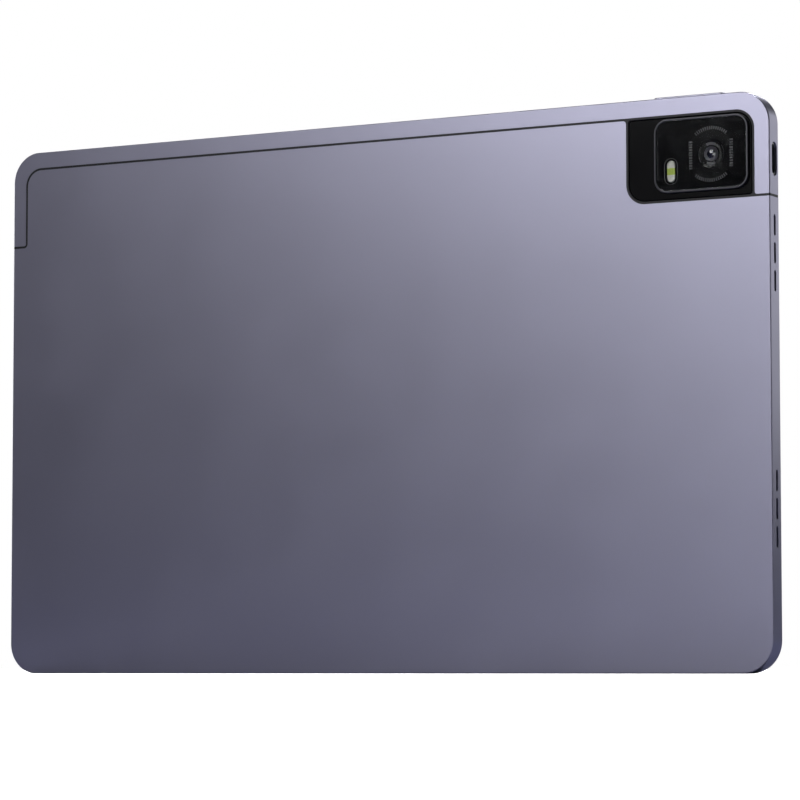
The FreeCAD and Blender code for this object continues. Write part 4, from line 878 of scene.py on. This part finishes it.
class TABLET_OT_marks(bpy.types.Operator):
    """Print the ticks, arcs and ladders around the lens; the arcs above and below it are painted
    highlights
    """

    bl_idname = "tablet.marks"
    bl_label = "Lens marks"

    def execute(self, context):
        island = context.scene.tablet_island
        centre = lens_centre()
        high = TRIM_LOW.y + 0.03 * MM
        low = TRIM_LOW.y + 0.005 * MM
        pieces = []
        half = math.radians(TICK_REACH)
        for name, middle_angle in (("ticks_above", math.pi / 2), ("ticks_below", -math.pi / 2)):
            angles = middle_angle + np.linspace(-half, half, island.mark_count)
            sweep = half / island.mark_count
            sizes = (island.mark_radius, island.mark_length)
            pieces.append(curved_blocks(name, centre, *sizes, angles, sweep, low, high))
        for name, side in (("ladder_left", -1), ("ladder_right", 1)):
            rows = centre[1] + np.linspace(-BAR_REACH, BAR_REACH, island.bar_count)
            x = centre[0] + side * island.bar_offset + np.array([-0.5, 0.5, 0.5, -0.5]) * MM
            z = rows[:, None] + np.array([-0.5, -0.5, 0.5, 0.5]) * BAR_HEIGHT
            pieces.append(flat_blocks(name, x, z, low, high))
        front = BARREL_LOW.y
        # the arcs above and below the lens are painted highlights in the marks' light grey
        for name, turn, radius, width, reach in LENS_ARCS:
            ends = math.radians(turn - reach), math.radians(turn + reach)
            pieces.append(arc_band(name, centre, radius, width, *ends, front, front + 0.2 * MM))
        around = flash_box(1.3 * MM)
        line = 0.13 * MM
        pieces.append(carried("flash_outline", lambda inset: pill_loop(around, inset),
                              [(0, low), (line, low), (line, high), (0, high)], ring=True))
        for piece in pieces:
            finish_piece(piece, print_and_painted_highlights(), "deck_plastic")
        return {"FINISHED"}


DISH_OUTER, DISH_INNER = 3.75 * MM, 2.95 * MM
CONE_OUTER, CONE_INNER = 1.9 * MM, 1.28 * MM


class TABLET_OT_lens(bpy.types.Operator):
    """Build the barrel, the ring and the front lens"""

    bl_idname = "tablet.lens"
    bl_label = "Lens"

    def execute(self, context):
        centre = lens_centre()
        front, base = BARREL_LOW.y, BARREL_HIGH.y
        outer = BARREL_HIGH.x - centre[0]
        ring = RING_HIGH.x - centre[0]
        lens = LENS_HIGH.x - centre[0]
        step, seat, sunk = 0.12 * MM, ring + 0.02 * MM, front + 0.04 * MM
        profile = [(0, base), (outer, base), (outer, front + step), (outer - step, front),
                   (DISH_OUTER, front), (DISH_OUTER - 0.1 * MM, front + 0.05 * MM),
                   (DISH_INNER, front + 0.08 * MM), (DISH_INNER - 0.1 * MM, sunk),
                   (ring + 0.25 * MM, sunk), (seat, front + 0.2 * MM),
                   (seat, RING_HIGH.y), (0, RING_HIGH.y)]
        barrel = lathed("barrel", centre, profile)
        finish_piece(barrel, turned_black(), "deck_plastic", "camera_barrel")

        low, high = RING_LOW.y, RING_HIGH.y
        edge, bore = 0.08 * MM, lens + 0.02 * MM
        ring_profile = [(ring, high), (ring, low + edge), (ring - edge, low), (CONE_OUTER, low),
                        (CONE_INNER, low + 0.10 * MM), (CONE_INNER, low + 0.13 * MM),
                        (bore, low + 0.22 * MM), (bore, high)]
        box = (*centre, 2 * ring, 2 * ring)
        stations = [(ring - radius, depth) for radius, depth in ring_profile]
        collar = carried("lens_collar", lambda inset: box_loop(box, inset, ring, 24), stations, ring=True)
        finish_piece(collar, polished_edge(), "polished_metal", "lens_ring")

        rise = 0.22 * MM
        share = np.linspace(0, 1, 10)
        dome = [(lens * t, LENS_LOW.y + rise * t * t) for t in share]
        glass = lathed("front_lens", centre, dome + [(lens, LENS_HIGH.y), (0, LENS_HIGH.y)])
        finish_piece(glass, lens_glass(), "clear_glass", "camera_lens")
        return {"FINISHED"}


class TABLET_OT_flash(bpy.types.Operator):
    """Build the flash window"""

    bl_idname = "tablet.flash"
    bl_label = "Flash window"

    def execute(self, context):
        box = flash_box(0)
        front, base, edge = FLASH_LOW.y, FLASH_HIGH.y, 0.3 * MM
        crown = [(inset, front + back) for inset, back in rounded_edge(edge, edge, 7)]
        piece = carried("flash_pill", lambda inset: pill_loop(box, inset), [(0, base)] + crown)
        finish_piece(piece, flash_diffuser(), "flash_plastic", "flash_window")
        return {"FINISHED"}


class TABLET_OT_screen(bpy.types.Operator):
    """Build the screen glass and the lip around it"""

    bl_idname = "tablet.screen"
    bl_label = "Screen"

    def execute(self, context):
        sizes = context.scene.tablet_shell
        inset = RIGHT - GLASS_HIGH.x
        loop_at = lambda shift: box_loop(OUTLINE, inset + shift, sizes.corner, OUTLINE_STEPS)
        front, back = GLASS_HIGH.y, GLASS_LOW.y
        rise, run = 0.55 * MM, 1.1 * MM
        edge = [(shift, front - drop) for shift, drop in rounded_edge(run, rise, 9)]
        glass = carried("screen_glass", loop_at, [(0, back)] + edge)
        finish_piece(glass, screen_glass(), "clear_glass", "cover_glass")

        lip_inset = RIGHT - LIP_HIGH.x
        low, high = RIM, LIP_HIGH.y
        lip_at = lambda shift: box_loop(OUTLINE, lip_inset + shift, sizes.corner, OUTLINE_STEPS)
        edge = 0.06 * MM
        stations = [(4 * MM, LIP_LOW.y), (sizes.wall - lip_inset + 0.1 * MM, LIP_LOW.y),
                    (sizes.wall - lip_inset + 0.1 * MM, low), (edge, low), (0, low + edge),
                    (0, high - edge), (edge, high), (4 * MM, high)]
        lip = carried("screen_lip", lip_at, stations, ring=True)
        finish_piece(lip, deck_black(), "deck_plastic", "display_frame")
        return {"FINISHED"}


FLANGE_REACH = 0.5 * MM


def button_cap(name, box, plane, base, top, side, flange):
    """A pill-shaped cap with a rounded crown, standing on a wider flange."""
    edge = 0.3 * MM
    crown = [(inset, top - side * back) for inset, back in rounded_edge(edge, edge)]
    foot = base + side * flange
    stations = [(-FLANGE_REACH, base), (-FLANGE_REACH, foot), (0, foot)] + crown
    return carried(name, lambda inset: pill_loop(box, inset, ARC_STEPS), stations, plane)


class TABLET_OT_buttons(bpy.types.Operator):
    """Build the caps of the volume rocker and the power key"""

    bl_idname = "tablet.buttons"
    bl_label = "Buttons"

    def execute(self, context):
        sizes = context.scene.tablet_shell
        low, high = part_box("volume_rocker")
        centre = middle(low, high)
        flange, rocker_depth, key_flange = 0.7 * MM, 3.0 * MM, 0.4 * MM
        box = (centre.x, centre.y, sizes.rocker_length, sizes.button_width)
        base = high.z - rocker_depth
        rocker = button_cap("rocker_cap", box, "XY", base, high.z, 1, flange)
        finish_piece(rocker, anodised(), "button_metal", "volume_rocker", body="rocker")

        low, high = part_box("power_key")
        centre = middle(low, high)
        box = (centre.y, centre.z, sizes.button_width, sizes.key_length)
        key = button_cap("key_cap", box, "YZ", high.x - key_flange, low.x, -1, flange)
        finish_piece(key, anodised(), "button_metal", "power_key", body="key")
        return {"FINISHED"}


class TABLET_OT_inside(bpy.types.Operator):
    """Give every part that stays from the frame a finish of its own"""

    bl_idname = "tablet.inside"
    bl_label = "Inner parts"

    def execute(self, context):
        slots = {row["node"]: row["material_slot"] for row in frame["record"]["subparts"]}
        for node, part in frame["nodes"].items():
            slot = slots[node]
            colour, roughness, metallic = INNER_FINISHES[slot]
            material = grained("Inner " + slot, colour, roughness, metallic=metallic, grain=3000.0)
            part.data.materials.clear()
            part.data.materials.append(woven_mesh() if node == "speaker_meshes" else material)
        return {"FINISHED"}


def area_light(name, place, target, width, height, power, spread_angle):
    lamp = bpy.data.lights.new(name, "AREA")
    lamp.shape = "RECTANGLE"
    lamp.size, lamp.size_y = width, height
    lamp.energy = power
    lamp.spread = math.radians(spread_angle)
    holder = bpy.data.objects.new(name, lamp)
    holder.location = place
    holder.rotation_euler = (Vector(target) - Vector(place)).to_track_quat("-Z", "Y").to_euler()
    bpy.context.scene.collection.objects.link(holder)


# name, degrees from straight behind the back (-Y) towards +X, degrees up, metres away,
# width, height, watts, spread of the beam in degrees, metres behind the tablet that it aims at
LIGHTS = (
    ("back_high", -20, 22, 2.0, 0.6, 0.5, 5.4, 180, 0),
    ("back_low", -5, 8, 2.0, 0.6, 0.5, 2.5, 180, 0),
    ("side_soft", 160, 13, 2.0, 1.4, 0.7, 2.5, 180, 0),
    ("port_side", 97, 8, 2.0, 0.8, 0.5, 1.6, 180, 0),
    ("key_side", -97, 10, 2.0, 0.8, 0.5, 3.0, 180, 0),
    ("top_soft", 215, 38, 2.2, 1.2, 0.9, 6.0, 180, 0),
    ("back_floor", 0, 88, 1.8, 0.2, 0.2, 1.5, 26, -0.36),
    ("screen_floor", 188, 62, 2.0, 0.4, 0.4, 9, 45, 0.75),
)


CAMERA_PLACE = (0.5077, -0.8997, 0.002)
CAMERA_YAW, CAMERA_PITCH, CAMERA_ROLL = 29.020, 4.381, -0.03
CAMERA_LENS = 156.63
FLOOR_REACH = 40.0


def camera_only(tree, quiet, seen):
    """Mix of two shaders: the second one only for what the camera sees directly."""
    path = tree.nodes.new("ShaderNodeLightPath")
    mix = tree.nodes.new("ShaderNodeMixShader")
    tree.links.new(path.outputs["Is Camera Ray"], mix.inputs[0])
    tree.links.new(quiet, mix.inputs[1])
    tree.links.new(seen, mix.inputs[2])
    return mix.outputs[0]


def studio_floor():
    """Pale floor: nearly white to look at, quiet grey in reflections."""
    material = grained("Studio floor", tuple(finishes().floor), 0.7, grain=60.0, swing=0.01)
    tree = material.node_tree
    pale = tree.nodes["Principled BSDF"]
    set_inputs(pale, {"Emission Color": (1, 1, 1, 1), "Emission Strength": 1.0})
    grey = tree.nodes.new("ShaderNodeBsdfDiffuse")
    grey.inputs["Color"].default_value = (0.125, 0.13, 0.19, 1)
    mixed = camera_only(tree, grey.outputs[0], pale.outputs[0])
    tree.links.new(mixed, tree.nodes["Material Output"].inputs["Surface"])
    return material


def studio_world(scene):
    """White backdrop for the camera, dim cool light for everything else."""
    world = bpy.data.worlds.new("Studio")
    scene.world = world
    world.use_nodes = True
    tree = world.node_tree
    backdrop = tree.nodes["Background"]
    backdrop.inputs["Color"].default_value = (1, 1, 1, 1)
    ambient = tree.nodes.new("ShaderNodeBackground")
    set_inputs(ambient, {"Color": (0.7, 0.78, 1, 1), "Strength": 0.006})
    mixed = camera_only(tree, ambient.outputs[0], backdrop.outputs[0])
    tree.links.new(mixed, tree.nodes["World Output"].inputs[0])


class TABLET_OT_stage(bpy.types.Operator):
    """Build the floor, the lights and the camera"""

    bl_idname = "tablet.stage"
    bl_label = "Stage"

    def execute(self, context):
        scene = context.scene
        corners = FLOOR_REACH * np.array([[-1, -1, 0], [1, -1, 0], [1, 1, 0], [-1, 1, 0]])
        floor = new_piece("floor", corners, [[0, 1, 2, 3]])
        floor.data.materials.append(studio_floor())
        studio_world(scene)
        for name, azimuth, elevation, distance, width, height, power, beam, behind in LIGHTS:
            turn, rise = math.radians(azimuth), math.radians(elevation)
            level = distance * math.cos(rise)
            place = (level * math.sin(turn), behind - level * math.cos(turn),
                     MIDDLE_HEIGHT + distance * math.sin(rise))
            area_light(name, place, (0, behind, MIDDLE_HEIGHT), width, height, power, beam)
        scene.view_settings.view_transform = "Standard"

        lens = bpy.data.cameras.new("camera")
        lens.sensor_fit = "HORIZONTAL"
        lens.sensor_width = 36
        lens.lens = CAMERA_LENS
        lens.clip_start = 0.01
        camera = bpy.data.objects.new("camera", lens)
        scene.collection.objects.link(camera)
        yaw, pitch, roll = (math.radians(angle) for angle in (CAMERA_YAW, CAMERA_PITCH, CAMERA_ROLL))
        turn = Matrix.Rotation(yaw, 3, "Z") @ Matrix.Rotation(math.pi / 2 + pitch, 3, "X")
        camera.rotation_euler = (turn @ Matrix.Rotation(roll, 3, "Z")).to_euler()
        camera.location = CAMERA_PLACE
        scene.camera = camera
        return {"FINISHED"}


OPERATORS = (
    TABLET_OT_housing, TABLET_OT_cover, TABLET_OT_seam, TABLET_OT_island, TABLET_OT_marks, TABLET_OT_lens,
    TABLET_OT_flash, TABLET_OT_screen, TABLET_OT_buttons, TABLET_OT_inside, TABLET_OT_stage,
)
SETTINGS = {
    "tablet_shell": TabletShellSizes,
    "tablet_island": TabletIslandSizes,
    "tablet_finishes": TabletFinishes,
}


class TABLET_PT_builder(bpy.types.Panel):
    """Lists the tablet's operators and settings"""

    bl_label = "Tablet"
    bl_idname = "TABLET_PT_builder"
    bl_space_type = "VIEW_3D"
    bl_region_type = "UI"
    bl_category = "Tablet"

    def draw(self, context):
        for operator in OPERATORS:
            self.layout.operator(operator.bl_idname)
        for name in SETTINGS:
            settings = getattr(context.scene, name)
            box = self.layout.box()
            for field in settings.__annotations__:
                box.prop(settings, field)


def register():
    for item in (*SETTINGS.values(), *OPERATORS, TABLET_PT_builder):
        bpy.utils.register_class(item)
    for name, group in SETTINGS.items():
        setattr(bpy.types.Scene, name, bpy.props.PointerProperty(type=group))


def unregister():
    for name in SETTINGS:
        delattr(bpy.types.Scene, name)
    for item in reversed((*SETTINGS.values(), *OPERATORS, TABLET_PT_builder)):
        bpy.utils.unregister_class(item)


def main():
    """Build everything in order."""
    register()
    bpy.ops.tablet.housing()
    bpy.ops.tablet.cover()
    bpy.ops.tablet.seam()
    bpy.ops.tablet.island()
    bpy.ops.tablet.marks()
    bpy.ops.tablet.lens()
    bpy.ops.tablet.flash()
    bpy.ops.tablet.screen()
    bpy.ops.tablet.buttons()
    bpy.ops.tablet.inside()
    bpy.ops.tablet.stage()


if __name__ == "__main__":
    main()
